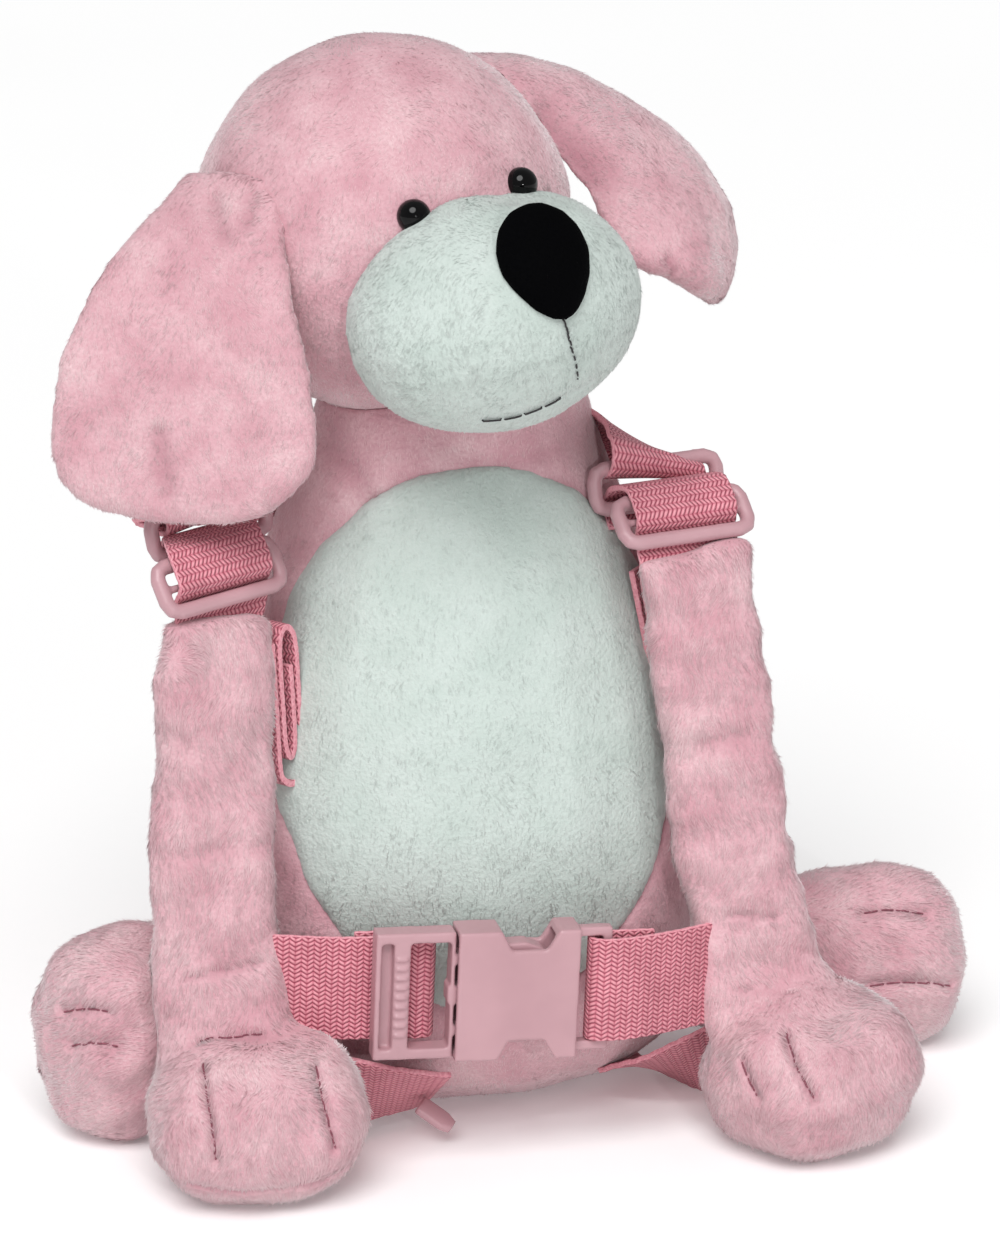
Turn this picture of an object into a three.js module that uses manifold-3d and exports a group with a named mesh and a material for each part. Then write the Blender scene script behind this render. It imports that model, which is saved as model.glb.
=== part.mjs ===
// Toddler harness backpack: a stuffed plush puppy whose forelegs are the shoulder straps.
// Millimetres, +Z up. The puppy looks along -Y; its right side is -X.
import * as THREE from 'three';
import { mergeVertices } from 'three/addons/utils/BufferGeometryUtils.js';
import Module from 'manifold-3d';

const wasm = await Module();
wasm.setup();

// Stuffed body, which is the bag
const bodyHeight = 170;
const bodyWidth = 116;
const bodyDepth = 96;
const panelThickness = 3;
const panelHeight = 122;
const panelWidth = 92;
const pouchWall = 20;
const pouchDepth = 44;
const mouthWidth = 66;
const mouthHeight = 7;
const zipWidth = 5;
const zipThickness = 1.6;

// Head
const skullRadius = 41;
const headYaw = 19;
const headPitch = -15;
const headRoll = -8.5;
const muzzleWidth = 66;
const muzzleDepth = 56;
const muzzleHeight = 51;
const noseWidth = 21.5;
const noseHeight = 25.5;
const noseThickness = 9;
const eyeDiameter = 7.6;
const earLength = 84;
const earWidth = 60;
const earThickness = 6;

// Shoulder straps that end in paws, and hind legs
const sleeveWidth = 30;
const sleeveThickness = 9;
const pawWidth = 48;
const pawDepth = 44;
const pawHeight = 35;
const toeDent = 2.4;
const legThickness = 43;
const legLength = 70;

// Webbing and its fittings
const webWidth = 24;
const webThickness = 1.5;
const barDiameter = 3.6;
const barCorner = 2.5;
const sliderHeight = 14;
const ringHeight = 12.6;
const buckleLength = 53;
const buckleHeight = 30;
const buckleThickness = 9;
const buckleWall = 1.7;
const ribCount = 9;
const ribHeight = 0.7;
const ribProud = 0.6;
const armThickness = 2.2;
const guideHeight = 4;
const bailLength = 7.7;
const bailThickness = 3;
const bailBar = 2;
const hangLength = 60;
const slackSpread = 7.6;
const tabLength = 9;
const tabWidth = 6;
const tabThickness = 2.6;

// Clearances: between pieces that touch, and beside webbing in its fittings
const gap = 0.3;
const webPlay = 0.9;

const pinkPlush = { color: 0xe2b1bb, roughness: 0.95, metalness: 0 };
const palePlush = { color: 0xdbe7e2, roughness: 0.95, metalness: 0 };
const pinkWebbing = { color: 0xd67f92, roughness: 0.8, metalness: 0 };
const pinkPlastic = { color: 0xdba6b1, roughness: 0.4, metalness: 0 };
const blackFelt = { color: 0x0a0a0b, roughness: 0.9, metalness: 0 };
const blackGloss = { color: 0x050505, roughness: 0.1, metalness: 0 };

const at = (x, y, z) => new THREE.Vector3(x, y, z);
const radians = THREE.MathUtils.degToRad;

// Smooth value of every named column of a table at a share t of its `at` column
function rowAt(table, t) {
  let i = 0;
  while (i < table.length - 2 && t > table[i + 1].at) i += 1;
  const a = table[i];
  const b = table[i + 1];
  const before = table[Math.max(i - 1, 0)];
  const after = table[Math.min(i + 2, table.length - 1)];
  const span = b.at - a.at;
  const f = THREE.MathUtils.clamp((t - a.at) / span, 0, 1);
  const row = {};
  for (const name of Object.keys(a)) {
    const slopeA = (b[name] - before[name]) / (b.at - before.at);
    const slopeB = (after[name] - a[name]) / (after.at - a.at);
    const rise = f * f * (3 - 2 * f);
    const easeA = f * (1 - f) * (1 - f) * span * slopeA;
    const easeB = f * f * (1 - f) * span * slopeB;
    row[name] = a[name] + (b[name] - a[name]) * rise + easeA - easeB;
  }
  return row;
}

// Keeps position only, joins vertices that meet and turns the faces outward
function weld(geometry) {
  const plain = geometry.index ? geometry.toNonIndexed() : geometry.clone();
  plain.deleteAttribute('normal');
  plain.deleteAttribute('uv');
  const merged = mergeVertices(plain, 1e-4);
  const index = merged.index.array;
  const corner = [at(0, 0, 0), at(0, 0, 0), at(0, 0, 0)];
  let volume = 0;
  for (let i = 0; i < index.length; i += 3) {
    corner.forEach((point, k) => point.fromBufferAttribute(merged.attributes.position, index[i + k]));
    volume += corner[0].dot(corner[1].clone().cross(corner[2]));
  }
  if (volume < 0) index.reverse();
  return merged;
}

function toSolid(geometry) {
  const welded = weld(geometry);
  const mesh = new wasm.Mesh({
    numProp: 3,
    vertProperties: new Float32Array(welded.attributes.position.array),
    triVerts: new Uint32Array(welded.index.array),
  });
  return new wasm.Manifold(mesh);
}

function toGeometry(solid) {
  const mesh = solid.getMesh();
  const geometry = new THREE.BufferGeometry();
  geometry.setAttribute('position', new THREE.BufferAttribute(mesh.vertProperties, 3));
  geometry.setIndex(new THREE.BufferAttribute(mesh.triVerts, 1));
  return geometry;
}

function cut(geometry, ...tools) {
  let solid = toSolid(geometry);
  for (const tool of tools) solid = solid.subtract(toSolid(tool));
  return toGeometry(solid);
}

function join(geometry, ...others) {
  let solid = toSolid(geometry);
  for (const other of others) solid = solid.add(toSolid(other));
  return toGeometry(solid);
}

function overlapOf(geometry, other) {
  return toGeometry(toSolid(geometry).intersect(toSolid(other)));
}

// A stuffed form: a sphere's rings of vertices moved onto sections.
// A section has a centre, two half axes, a cup that bends it and a fullness above 1 for square corners.
function loft(sections, segments) {
  const geometry = new THREE.SphereGeometry(1, segments, sections.length + 1);
  const position = geometry.attributes.position;
  const point = at(0, 0, 0);
  const columns = segments + 1;
  for (let i = 0; i < position.count; i += 1) {
    const ring = Math.floor(i / columns);
    const section = sections[THREE.MathUtils.clamp(ring - 1, 0, sections.length - 1)];
    const spread = ring === 0 || ring === sections.length + 1 ? 0 : 1;
    const column = (i % columns) % segments;
    const angle = (column / segments) * 2 * Math.PI;
    const power = 1 / (section.fullness ?? 1);
    const across = spread * Math.sign(Math.cos(angle)) * Math.abs(Math.cos(angle)) ** power;
    const outward = spread * Math.sign(Math.sin(angle)) * Math.abs(Math.sin(angle)) ** power;
    const bend = (section.cup ?? 0) * across * across;
    point.copy(section.centre);
    point.addScaledVector(section.side, across);
    point.addScaledVector(section.face, outward);
    point.addScaledVector(section.face.clone().normalize(), bend);
    position.setXYZ(i, point.x, point.y, point.z);
  }
  return geometry;
}

// A flat band along a curve, its width turned from one named direction to the next
function band(points, sides, width, steps) {
  const curve = new THREE.CatmullRomCurve3(points, false, 'centripetal');
  const geometry = new THREE.BoxGeometry(1, 1, 1, 1, 1, steps);
  const position = geometry.attributes.position;
  for (let i = 0; i < position.count; i += 1) {
    const t = position.getZ(i) + 0.5;
    const tangent = curve.getTangentAt(t);
    const place = t * (sides.length - 1);
    const k = Math.min(Math.floor(place), sides.length - 2);
    const side = sides[k].clone().lerp(sides[k + 1], place - k);
    side.addScaledVector(tangent, -side.dot(tangent)).normalize();
    const face = at(0, 0, 0).crossVectors(tangent, side);
    const point = curve.getPointAt(t);
    point.addScaledVector(side, position.getX(i) * width);
    point.addScaledVector(face, position.getY(i) * webThickness);
    position.setXYZ(i, point.x, point.y, point.z);
  }
  return geometry;
}

// A plate in the XZ plane, centred on y, from an outline with holes
function plate(outline, thickness, y, curveSegments = 5) {
  const slab = new THREE.ExtrudeGeometry(outline, { depth: thickness, bevelEnabled: false, curveSegments });
  return slab.rotateX(Math.PI / 2).translate(0, y + thickness / 2, 0);
}

function rectangle(left, right, low, high) {
  const path = new THREE.Path();
  path.moveTo(left, low);
  path.lineTo(right, low);
  path.lineTo(right, high);
  path.lineTo(left, high);
  path.closePath();
  return path;
}

// Body: half widths as shares of bodyWidth / 2, front and back of bodyDepth, heights of bodyHeight
const bodyTable = [
  { at: 0.0, half: 0.7, front: 0.15, back: 0.4 },
  { at: 0.02, half: 0.81, front: 0.25, back: 0.43 },
  { at: 0.07, half: 0.92, front: 0.37, back: 0.47 },
  { at: 0.18, half: 0.985, front: 0.46, back: 0.5 },
  { at: 0.33, half: 1.0, front: 0.495, back: 0.505 },
  { at: 0.48, half: 0.965, front: 0.5, back: 0.485 },
  { at: 0.62, half: 0.865, front: 0.465, back: 0.44 },
  { at: 0.74, half: 0.75, front: 0.415, back: 0.375 },
  { at: 0.84, half: 0.64, front: 0.325, back: 0.31 },
  { at: 0.92, half: 0.55, front: 0.28, back: 0.27 },
  { at: 1.0, half: 0.48, front: 0.28, back: 0.24 },
];
const bodyRings = [0, 0.02, 0.06, 0.12, 0.2, 0.3, 0.42, 0.54, 0.65, 0.75, 0.84, 0.92, 1];
const panelMiddle = 0.545 * bodyHeight;
const mouthLevel = 0.6 * bodyHeight;

function bodyForm(grow) {
  const sections = bodyRings.map((share) => {
    const row = rowAt(bodyTable, share);
    const front = row.front * bodyDepth + grow;
    const back = row.back * bodyDepth + grow;
    const lift = (share === 1 ? grow : 0) - (share === 0 ? grow : 0);
    return {
      centre: at(0, (back - front) / 2, share * bodyHeight + lift),
      side: at((row.half * bodyWidth) / 2 + grow, 0, 0),
      face: at(0, (back + front) / 2, 0),
      fullness: 1.06,
    };
  });
  return loft(sections, 20);
}

function panelCutter(grow) {
  const outline = new THREE.Shape();
  outline.absellipse(0, 0, panelWidth / 2 + grow, panelHeight / 2 + grow, 0, 2 * Math.PI);
  return plate(outline, bodyDepth, -bodyDepth / 2, 12).translate(0, 0, panelMiddle);
}

// The pouch is a padded hollow whose mouth is a slit in the back
function pouchForm() {
  const low = pouchWall;
  const high = mouthLevel + mouthHeight + pouchWall / 2;
  const rows = [
    { at: 0, round: 0.7 },
    { at: 0.12, round: 0.92 },
    { at: 0.5, round: 1 },
    { at: 0.88, round: 0.92 },
    { at: 1, round: 0.7 },
  ];
  const sections = rows.map((row) => ({
    centre: at(0, (0.35 * pouchDepth) / 2, THREE.MathUtils.lerp(low, high, row.at)),
    side: at((bodyWidth / 2 - pouchWall) * row.round, 0, 0),
    face: at(0, (pouchDepth / 2) * row.round, 0),
    fullness: 1.5,
  }));
  return loft(sections, 16);
}

// A slot with round ends in the back, from the plane y = inside to outside the body
function mouthBlock(grow, inside) {
  const outline = new THREE.Shape();
  const halfLong = (mouthWidth - mouthHeight) / 2;
  const radius = mouthHeight / 2 + grow;
  outline.absarc(halfLong, 0, radius, -Math.PI / 2, Math.PI / 2);
  outline.absarc(-halfLong, 0, radius, Math.PI / 2, Math.PI * 1.5);
  const outside = bodyDepth;
  return plate(outline, outside - inside, (outside + inside) / 2).translate(0, 0, mouthLevel);
}

function makeBody() {
  const panelRoom = cut(panelCutter(gap), bodyForm(-panelThickness - gap));
  const tapeRoom = cut(mouthBlock(zipWidth + gap, pouchDepth / 2), bodyForm(-zipThickness - gap));
  return cut(
    bodyForm(0),
    skullForm(gap),
    muzzleForm(gap),
    panelRoom,
    tapeRoom,
    mouthBlock(0, 0),
    pouchForm(),
  );
}

function makePanel() {
  return cut(overlapOf(panelCutter(0), bodyForm(0)), bodyForm(-panelThickness));
}

function makeZip() {
  const tape = overlapOf(mouthBlock(zipWidth, pouchDepth / 2), bodyForm(0));
  return cut(tape, bodyForm(-zipThickness), mouthBlock(0, 0));
}

// Head: it sits in the neck, and all on it is placed in its own turned frame
const muzzleForward = 0.9 * skullRadius;
const muzzleDrop = 0.55 * skullRadius;
const noseDrop = 0.345 * skullRadius;
const eyeSpread = 0.334 * skullRadius;
const eyeRise = 0.035 * skullRadius;
const earSpread = 0.83 * skullRadius;
const earRise = 0.5 * skullRadius;

const headPose = new THREE.Group();
headPose.position.set(-0.395 * skullRadius, -0.052 * bodyDepth, bodyHeight + 0.825 * skullRadius);
headPose.rotation.set(radians(headPitch), radians(headRoll), radians(headYaw), 'ZXY');
headPose.updateMatrix();

function skullForm(grow) {
  const ball = new THREE.SphereGeometry(skullRadius + grow, 22, 14);
  ball.rotateX(Math.PI / 2);
  ball.scale(1.01, 0.99, 1);
  return ball.applyMatrix4(headPose.matrix);
}

function muzzleForm(grow) {
  const ball = new THREE.SphereGeometry(1, 20, 11);
  ball.rotateX(Math.PI / 2);
  ball.scale(muzzleWidth / 2 + grow, muzzleDepth / 2 + grow, muzzleHeight / 2 + grow);
  ball.translate(0, -muzzleForward, -muzzleDrop);
  return ball.applyMatrix4(headPose.matrix);
}

function makeMuzzle() {
  return cut(muzzleForm(0), skullForm(gap));
}

// Nose: a domed pad, broad above and pointed below
function makeNose() {
  const rise = (muzzleDrop - noseDrop) / (muzzleHeight / 2);
  const forward = muzzleForward + (muzzleDepth / 2) * Math.sqrt(1 - rise * rise);
  const ball = new THREE.SphereGeometry(1, 16, 8);
  ball.rotateX(Math.PI / 2);
  const position = ball.attributes.position;
  for (let i = 0; i < position.count; i += 1) {
    const z = position.getZ(i);
    const taper = 1 - 0.34 * Math.max(0, -z) ** 1.3 + 0.08 * Math.max(0, z);
    position.setX(i, position.getX(i) * taper);
  }
  ball.scale(noseWidth / 2, noseThickness / 2, noseHeight / 2);
  ball.rotateX(Math.asin(-rise) / 2);
  ball.translate(0, -forward, -noseDrop);
  return cut(ball.applyMatrix4(headPose.matrix), muzzleForm(gap));
}

function makeEye(side) {
  const reach = Math.sqrt(skullRadius ** 2 - eyeSpread ** 2 - eyeRise ** 2);
  const ball = new THREE.SphereGeometry(eyeDiameter / 2, 10, 8);
  ball.translate(side * eyeSpread, -reach, eyeRise);
  return cut(ball.applyMatrix4(headPose.matrix), skullForm(gap), muzzleForm(gap));
}

// Ears hang from their roots: places are shares of earLength, widths of earWidth / 2, thickness of
// earThickness. turn is the heading of the width, lean lifts its front edge, cup folds its edges down.
const earTables = {
  right: [
    { at: 0.0, out: -0.04, front: 0.08, down: 0.0, half: 0.42, thick: 0.6, turn: -42, lean: 8, cup: 0.0 },
    { at: 0.16, out: 0.03, front: 0.17, down: 0.14, half: 0.56, thick: 0.85, turn: -30, lean: 6, cup: 0.0 },
    { at: 0.34, out: 0.08, front: 0.21, down: 0.31, half: 0.76, thick: 1.0, turn: -24, lean: 3, cup: 0.02 },
    { at: 0.52, out: 0.11, front: 0.23, down: 0.48, half: 0.91, thick: 1.0, turn: -21, lean: 0, cup: 0.03 },
    { at: 0.7, out: 0.12, front: 0.24, down: 0.64, half: 0.96, thick: 1.0, turn: -20, lean: -2, cup: 0.03 },
    { at: 0.85, out: 0.12, front: 0.25, down: 0.745, half: 0.88, thick: 0.9, turn: -20, lean: -2, cup: 0.02 },
    { at: 0.96, out: 0.12, front: 0.26, down: 0.81, half: 0.6, thick: 0.7, turn: -20, lean: -2, cup: 0.0 },
    { at: 1.0, out: 0.12, front: 0.26, down: 0.84, half: 0.3, thick: 0.4, turn: -20, lean: -2, cup: 0.0 },
  ],
  left: [
    { at: 0.0, out: -0.14, front: 0.02, down: -0.06, half: 0.36, thick: 0.6, turn: -108, lean: -6, cup: 0.02 },
    { at: 0.15, out: 0.08, front: 0.01, down: -0.03, half: 0.5, thick: 0.85, turn: -112, lean: -10, cup: 0.07 },
    { at: 0.34, out: 0.3, front: 0.0, down: 0.09, half: 0.66, thick: 1.0, turn: -116, lean: -13, cup: 0.12 },
    { at: 0.52, out: 0.45, front: 0.0, down: 0.22, half: 0.76, thick: 1.0, turn: -120, lean: -15, cup: 0.14 },
    { at: 0.7, out: 0.555, front: 0.01, down: 0.35, half: 0.8, thick: 1.0, turn: -122, lean: -15, cup: 0.13 },
    { at: 0.86, out: 0.59, front: 0.04, down: 0.47, half: 0.68, thick: 0.9, turn: -120, lean: -14, cup: 0.09 },
    { at: 0.96, out: 0.585, front: 0.06, down: 0.535, half: 0.44, thick: 0.7, turn: -118, lean: -12, cup: 0.04 },
    { at: 1.0, out: 0.575, front: 0.07, down: 0.56, half: 0.22, thick: 0.4, turn: -118, lean: -12, cup: 0.01 },
  ],
};

// Turns a table that has a place, a heading and half sizes into loft sections
function sectionsAlong(table, shares, place, halfWidth, halfThick, options = {}) {
  return shares.map((share) => {
    const row = rowAt(table, share);
    const ahead = place(rowAt(table, Math.min(share + 0.02, 1)));
    const behind = place(rowAt(table, Math.max(share - 0.02, 0)));
    const along = ahead.sub(behind).normalize();
    const heading = radians(row.turn);
    const across = at(Math.cos(heading), Math.sin(heading), Math.sin(radians(row.lean ?? 0)));
    across.addScaledVector(along, -across.dot(along)).normalize();
    const face = at(0, 0, 0).crossVectors(across, along);
    const lift = (share === 1 ? 1 : 0) - (share === 0 ? 1 : 0);
    return {
      centre: place(row).addScaledVector(along, lift * (options.grow ?? 0)),
      side: across.multiplyScalar(row.half * halfWidth + (options.grow ?? 0)),
      face: face.multiplyScalar(row.thick * halfThick + (options.grow ?? 0)),
      cup: -(row.cup ?? 0) * halfWidth * 2,
      fullness: options.fullness,
    };
  });
}

function makeEar(name, side) {
  const root = at(side * (earSpread + earThickness / 2), 0, earRise).applyMatrix4(headPose.matrix);
  const place = (row) => at(side * row.out, -row.front, -row.down).multiplyScalar(earLength).add(root);
  const shares = [0, 0.05, 0.14, 0.25, 0.37, 0.5, 0.62, 0.73, 0.83, 0.91, 0.97, 1];
  const sections = sectionsAlong(
    earTables[name],
    shares,
    place,
    earWidth / 2,
    earThickness / 2,
    { fullness: 1.25 },
  );
  return cut(loft(sections, 15), skullForm(gap));
}

// Fleece sleeves over the straps: x as shares of bodyWidth / 2, y of bodyDepth, z of bodyHeight,
// half of sleeveWidth / 2, thick of sleeveThickness / 2
const sleeveTables = {
  right: [
    { at: 0.0, x: -1.02, y: -0.37, z: 0.735, half: 0.92, thick: 0.72, turn: 20 },
    { at: 0.06, x: -1.03, y: -0.38, z: 0.69, half: 0.9, thick: 0.95, turn: 14 },
    { at: 0.3, x: -1.05, y: -0.41, z: 0.56, half: 0.93, thick: 1.0, turn: 2 },
    { at: 0.6, x: -1.075, y: -0.46, z: 0.4, half: 0.98, thick: 1.0, turn: -6 },
    { at: 0.85, x: -1.06, y: -0.5, z: 0.27, half: 1.02, thick: 0.95, turn: -8 },
    { at: 1.0, x: -1.03, y: -0.53, z: 0.16, half: 1.12, thick: 1.2, turn: -8 },
  ],
  left: [
    { at: 0.0, x: 0.8, y: -0.395, z: 0.79, half: 0.9, thick: 0.72, turn: 6 },
    { at: 0.06, x: 0.82, y: -0.4, z: 0.745, half: 0.88, thick: 0.95, turn: 4 },
    { at: 0.3, x: 0.87, y: -0.43, z: 0.6, half: 0.93, thick: 1.0, turn: 0 },
    { at: 0.6, x: 0.93, y: -0.47, z: 0.42, half: 0.97, thick: 1.0, turn: 2 },
    { at: 0.85, x: 1.01, y: -0.5, z: 0.28, half: 1.0, thick: 0.95, turn: 6 },
    { at: 1.0, x: 1.07, y: -0.53, z: 0.18, half: 1.1, thick: 1.2, turn: 8 },
  ],
};
const sleevePlace = (row) => at((row.x * bodyWidth) / 2, row.y * bodyDepth, row.z * bodyHeight);

function sleeveForm(name, grow) {
  const shares = [0, 0.04, 0.12, 0.26, 0.42, 0.58, 0.74, 0.88, 1];
  const options = { grow, fullness: 1.4 };
  const table = sleeveTables[name];
  return loft(sectionsAlong(table, shares, sleevePlace, sleeveWidth / 2, sleeveThickness / 2, options), 16);
}

// A paw stands under its sleeve: heading turns its toes outward, toes are the dents between them
const paws = {
  right: { aside: 0.09, ahead: -0.15, heading: 4, toes: [-0.34, 0.3] },
  left: { aside: 0.18, ahead: -0.15, heading: 24, toes: [0.1] },
};

function pawForm(name, grow) {
  const paw = paws[name];
  const wrist = sleevePlace(sleeveTables[name].at(-1));
  const ball = new THREE.SphereGeometry(1, 18, 11);
  ball.rotateX(Math.PI / 2);
  const position = ball.attributes.position;
  const round = (value) => Math.sign(value) * Math.abs(value) ** 0.82;
  for (let i = 0; i < position.count; i += 1) {
    const u = round(position.getX(i));
    const v = round(position.getY(i));
    const w = round(position.getZ(i));
    const front = Math.max(0, -v);
    const slope = w > 0 ? 0.16 * w * front * pawHeight : 0;
    let dent = 0;
    for (const toe of paw.toes) dent += toeDent * Math.exp(-(((u - toe) / 0.12) ** 2)) * front;
    const x = u * (pawWidth / 2 + grow);
    const y = v * (pawDepth / 2 + grow) + dent;
    const z = Math.max(pawHeight / 2 + w * (pawHeight / 2 + grow) * 1.05 - slope, -grow);
    position.setXYZ(i, x, y, z);
  }
  ball.rotateZ(radians(paw.heading));
  return ball.translate(wrist.x + paw.aside * pawWidth, wrist.y + paw.ahead * pawDepth, 0);
}

function makeSleeve(name) {
  return cut(sleeveForm(name, 0), pawForm(name, gap));
}

// Hind legs sit out from the sides of the body: reach along each leg as shares of its length
const legs = {
  right: { x: -0.34, y: 0.08, heading: 213, length: 0.94, size: 1.1 },
  left: { x: 0.4, y: 0.08, heading: -11, length: 1.1, size: 1 },
};
const legTable = [
  { at: 0.0, thick: 0.74, level: 0.52 },
  { at: 0.25, thick: 0.78, level: 0.5 },
  { at: 0.45, thick: 0.84, level: 0.5 },
  { at: 0.65, thick: 1.0, level: 0.5 },
  { at: 0.85, thick: 0.98, level: 0.5 },
  { at: 0.96, thick: 0.74, level: 0.48 },
  { at: 1.0, thick: 0.4, level: 0.46 },
];

function makeLeg(name) {
  const leg = legs[name];
  const heading = radians(leg.heading);
  const along = at(Math.cos(heading), Math.sin(heading), 0);
  const across = at(-Math.sin(heading), Math.cos(heading), 0);
  const hip = at(leg.x * bodyWidth, leg.y * bodyDepth, 0);
  const length = leg.length * legLength;
  const shares = [0, 0.2, 0.4, 0.55, 0.68, 0.8, 0.88, 0.95, 1];
  const sections = shares.map((share) => {
    const row = rowAt(legTable, share);
    const half = (row.thick * leg.size * legThickness) / 2;
    return {
      centre: hip.clone().addScaledVector(along, share * length).setZ(row.level * leg.size * legThickness),
      side: across.clone().multiplyScalar(half * 0.82),
      face: at(0, 0, half),
      fullness: 1.05,
    };
  });
  const form = loft(sections, 16);
  const position = form.attributes.position;
  const offset = at(0, 0, 0);
  for (let i = 0; i < position.count; i += 1) {
    offset.fromBufferAttribute(position, i).sub(hip);
    const beyond = THREE.MathUtils.smoothstep(offset.dot(along), 0.62 * length, length);
    const height = offset.z / legThickness;
    const dent = [0.3, 0.72].map((level) => Math.exp(-(((height - level) / 0.11) ** 2)));
    const depth = 0.7 * toeDent * beyond * (dent[0] + dent[1]);
    position.setXYZ(
      i,
      position.getX(i) - along.x * depth,
      position.getY(i) - along.y * depth,
      Math.max(position.getZ(i), 0),
    );
  }
  return cut(form, bodyForm(gap));
}

// Shoulder fittings: a frame for each side, width along X, strap upward along Z, front along -Y
const shoulders = {
  right: { side: -1, yaw: 25, roll: -4, tilt: -32, inward: 0.02, behind: 0.16, above: 0.6, ringIn: 6 },
  left: { side: 1, yaw: 9, roll: -2, tilt: -48, inward: -0.02, behind: 0.3, above: 0.48, ringIn: -1 },
};
const bar = barDiameter / 2;
const layer = bar + gap + webThickness / 2;
const fittingWidth = webWidth + 2 * webPlay + 2 * barDiameter;
const ringBehind = 2 * bar + 1.4 * layer;
const ringLow = sliderHeight / 2 + bar;

function standAt(point, tilt, roll, yaw) {
  const stand = new THREE.Group();
  stand.position.copy(point);
  stand.rotation.set(radians(tilt), radians(roll), radians(yaw), 'ZYX');
  stand.updateMatrix();
  return stand.matrix;
}

function shoulderMatrix(name) {
  const shoulder = shoulders[name];
  const place = sleevePlace(sleeveTables[name][0]);
  const aside = (shoulder.inward * bodyWidth) / 2;
  place.add(at(aside, shoulder.behind * sliderHeight, shoulder.above * sliderHeight));
  return standAt(place, shoulder.tilt, shoulder.roll, shoulder.yaw);
}

// A rounded rectangular loop of round bar, standing in the XZ plane
function loopOfBar(width, height, radius, grow = 0) {
  const x = width / 2 - bar - radius;
  const z = height / 2 - bar - radius;
  const points = [];
  for (const [cx, cz, from] of [[x, z, 0], [-x, z, 90], [-x, -z, 180], [x, -z, 270]]) {
    for (const turn of [0, 45, 90]) {
      const angle = radians(from + turn);
      points.push(at(cx + radius * Math.cos(angle), 0, cz + radius * Math.sin(angle)));
    }
  }
  const sides = 8;
  const ring = new THREE.TorusGeometry(1, 0.5, sides, points.length);
  const position = ring.attributes.position;
  const columns = points.length + 1;
  for (let i = 0; i < position.count; i += 1) {
    const k = (i % columns) % points.length;
    const turn = ((Math.floor(i / columns) % sides) / sides) * 2 * Math.PI;
    const before = points.at(k - 1);
    const after = points[(k + 1) % points.length];
    const along = after.clone().sub(before).normalize();
    const out = at(along.z, 0, -along.x).multiplyScalar((bar + grow) * Math.cos(turn));
    position.setXYZ(i, points[k].x + out.x, (bar + grow) * Math.sin(turn), points[k].z + out.z);
  }
  return ring;
}

function makeSlider(name) {
  const frame = loopOfBar(fittingWidth, sliderHeight, barCorner);
  const middle = new THREE.CylinderGeometry(bar / 2, bar / 2, fittingWidth - barDiameter, 8);
  return join(frame, middle.rotateZ(Math.PI / 2)).applyMatrix4(shoulderMatrix(name));
}

// The ring stands upright behind the slider, nearer the neck; its frame is on its lower bar
function ringMatrix(name) {
  const shoulder = shoulders[name];
  const lowBar = at(shoulder.ringIn, ringBehind, ringLow).applyMatrix4(shoulderMatrix(name));
  return standAt(lowBar, -12, shoulder.roll, shoulder.yaw);
}

function ringForm(name, grow) {
  const ring = loopOfBar(fittingWidth, ringHeight, barCorner, grow);
  return ring.translate(0, 0, ringHeight / 2 - bar).applyMatrix4(ringMatrix(name));
}

// Adjusting web: out of the sleeve, over the slider, back over the ring's lower bar and down
const lowBar = bar - sliderHeight / 2;
const adjusterProfile = [
  { up: lowBar, front: -layer, inward: 0 },
  { up: lowBar + 0.75 * layer, front: -0.75 * layer, inward: 0 },
  { up: lowBar + 1.04 * layer, front: 0, inward: 0 },
  { up: lowBar + 1.4 * layer, front: 0.8 * layer, inward: 0 },
  { up: 0, front: 1.1 * layer, inward: 0 },
  { up: -lowBar, front: 1.1 * layer, inward: 0.02 },
  { up: -lowBar + layer, front: 0.6 * layer, inward: 0.15 },
  { up: ringLow + layer, front: -ringBehind / 2, inward: 0.7 },
  { up: ringLow + 1.1 * layer, front: -ringBehind, inward: 1 },
  { up: ringLow + 0.8 * layer, front: -ringBehind - 0.8 * layer, inward: 1 },
  { up: ringLow - 0.3 * layer, front: -ringBehind - 1.15 * layer, inward: 1 },
  { up: ringLow - 1.1 * layer, front: -ringBehind - 1.15 * layer, inward: 1 },
];

function makeAdjusterWeb(name) {
  const matrix = shoulderMatrix(name);
  const { ringIn } = shoulders[name];
  const mouth = sleevePlace(sleeveTables[name][0]).add(at(0, 0, -2 * webThickness));
  const rest = adjusterProfile.map((row) => {
    return at(row.inward * ringIn, -row.front, row.up).applyMatrix4(matrix);
  });
  const across = at(1, 0, 0).transformDirection(matrix);
  const strap = band([mouth, ...rest], [across, across], webWidth, 32);
  return cut(strap, sleeveForm(name, gap), bodyForm(gap), ringForm(name, gap));
}

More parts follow.
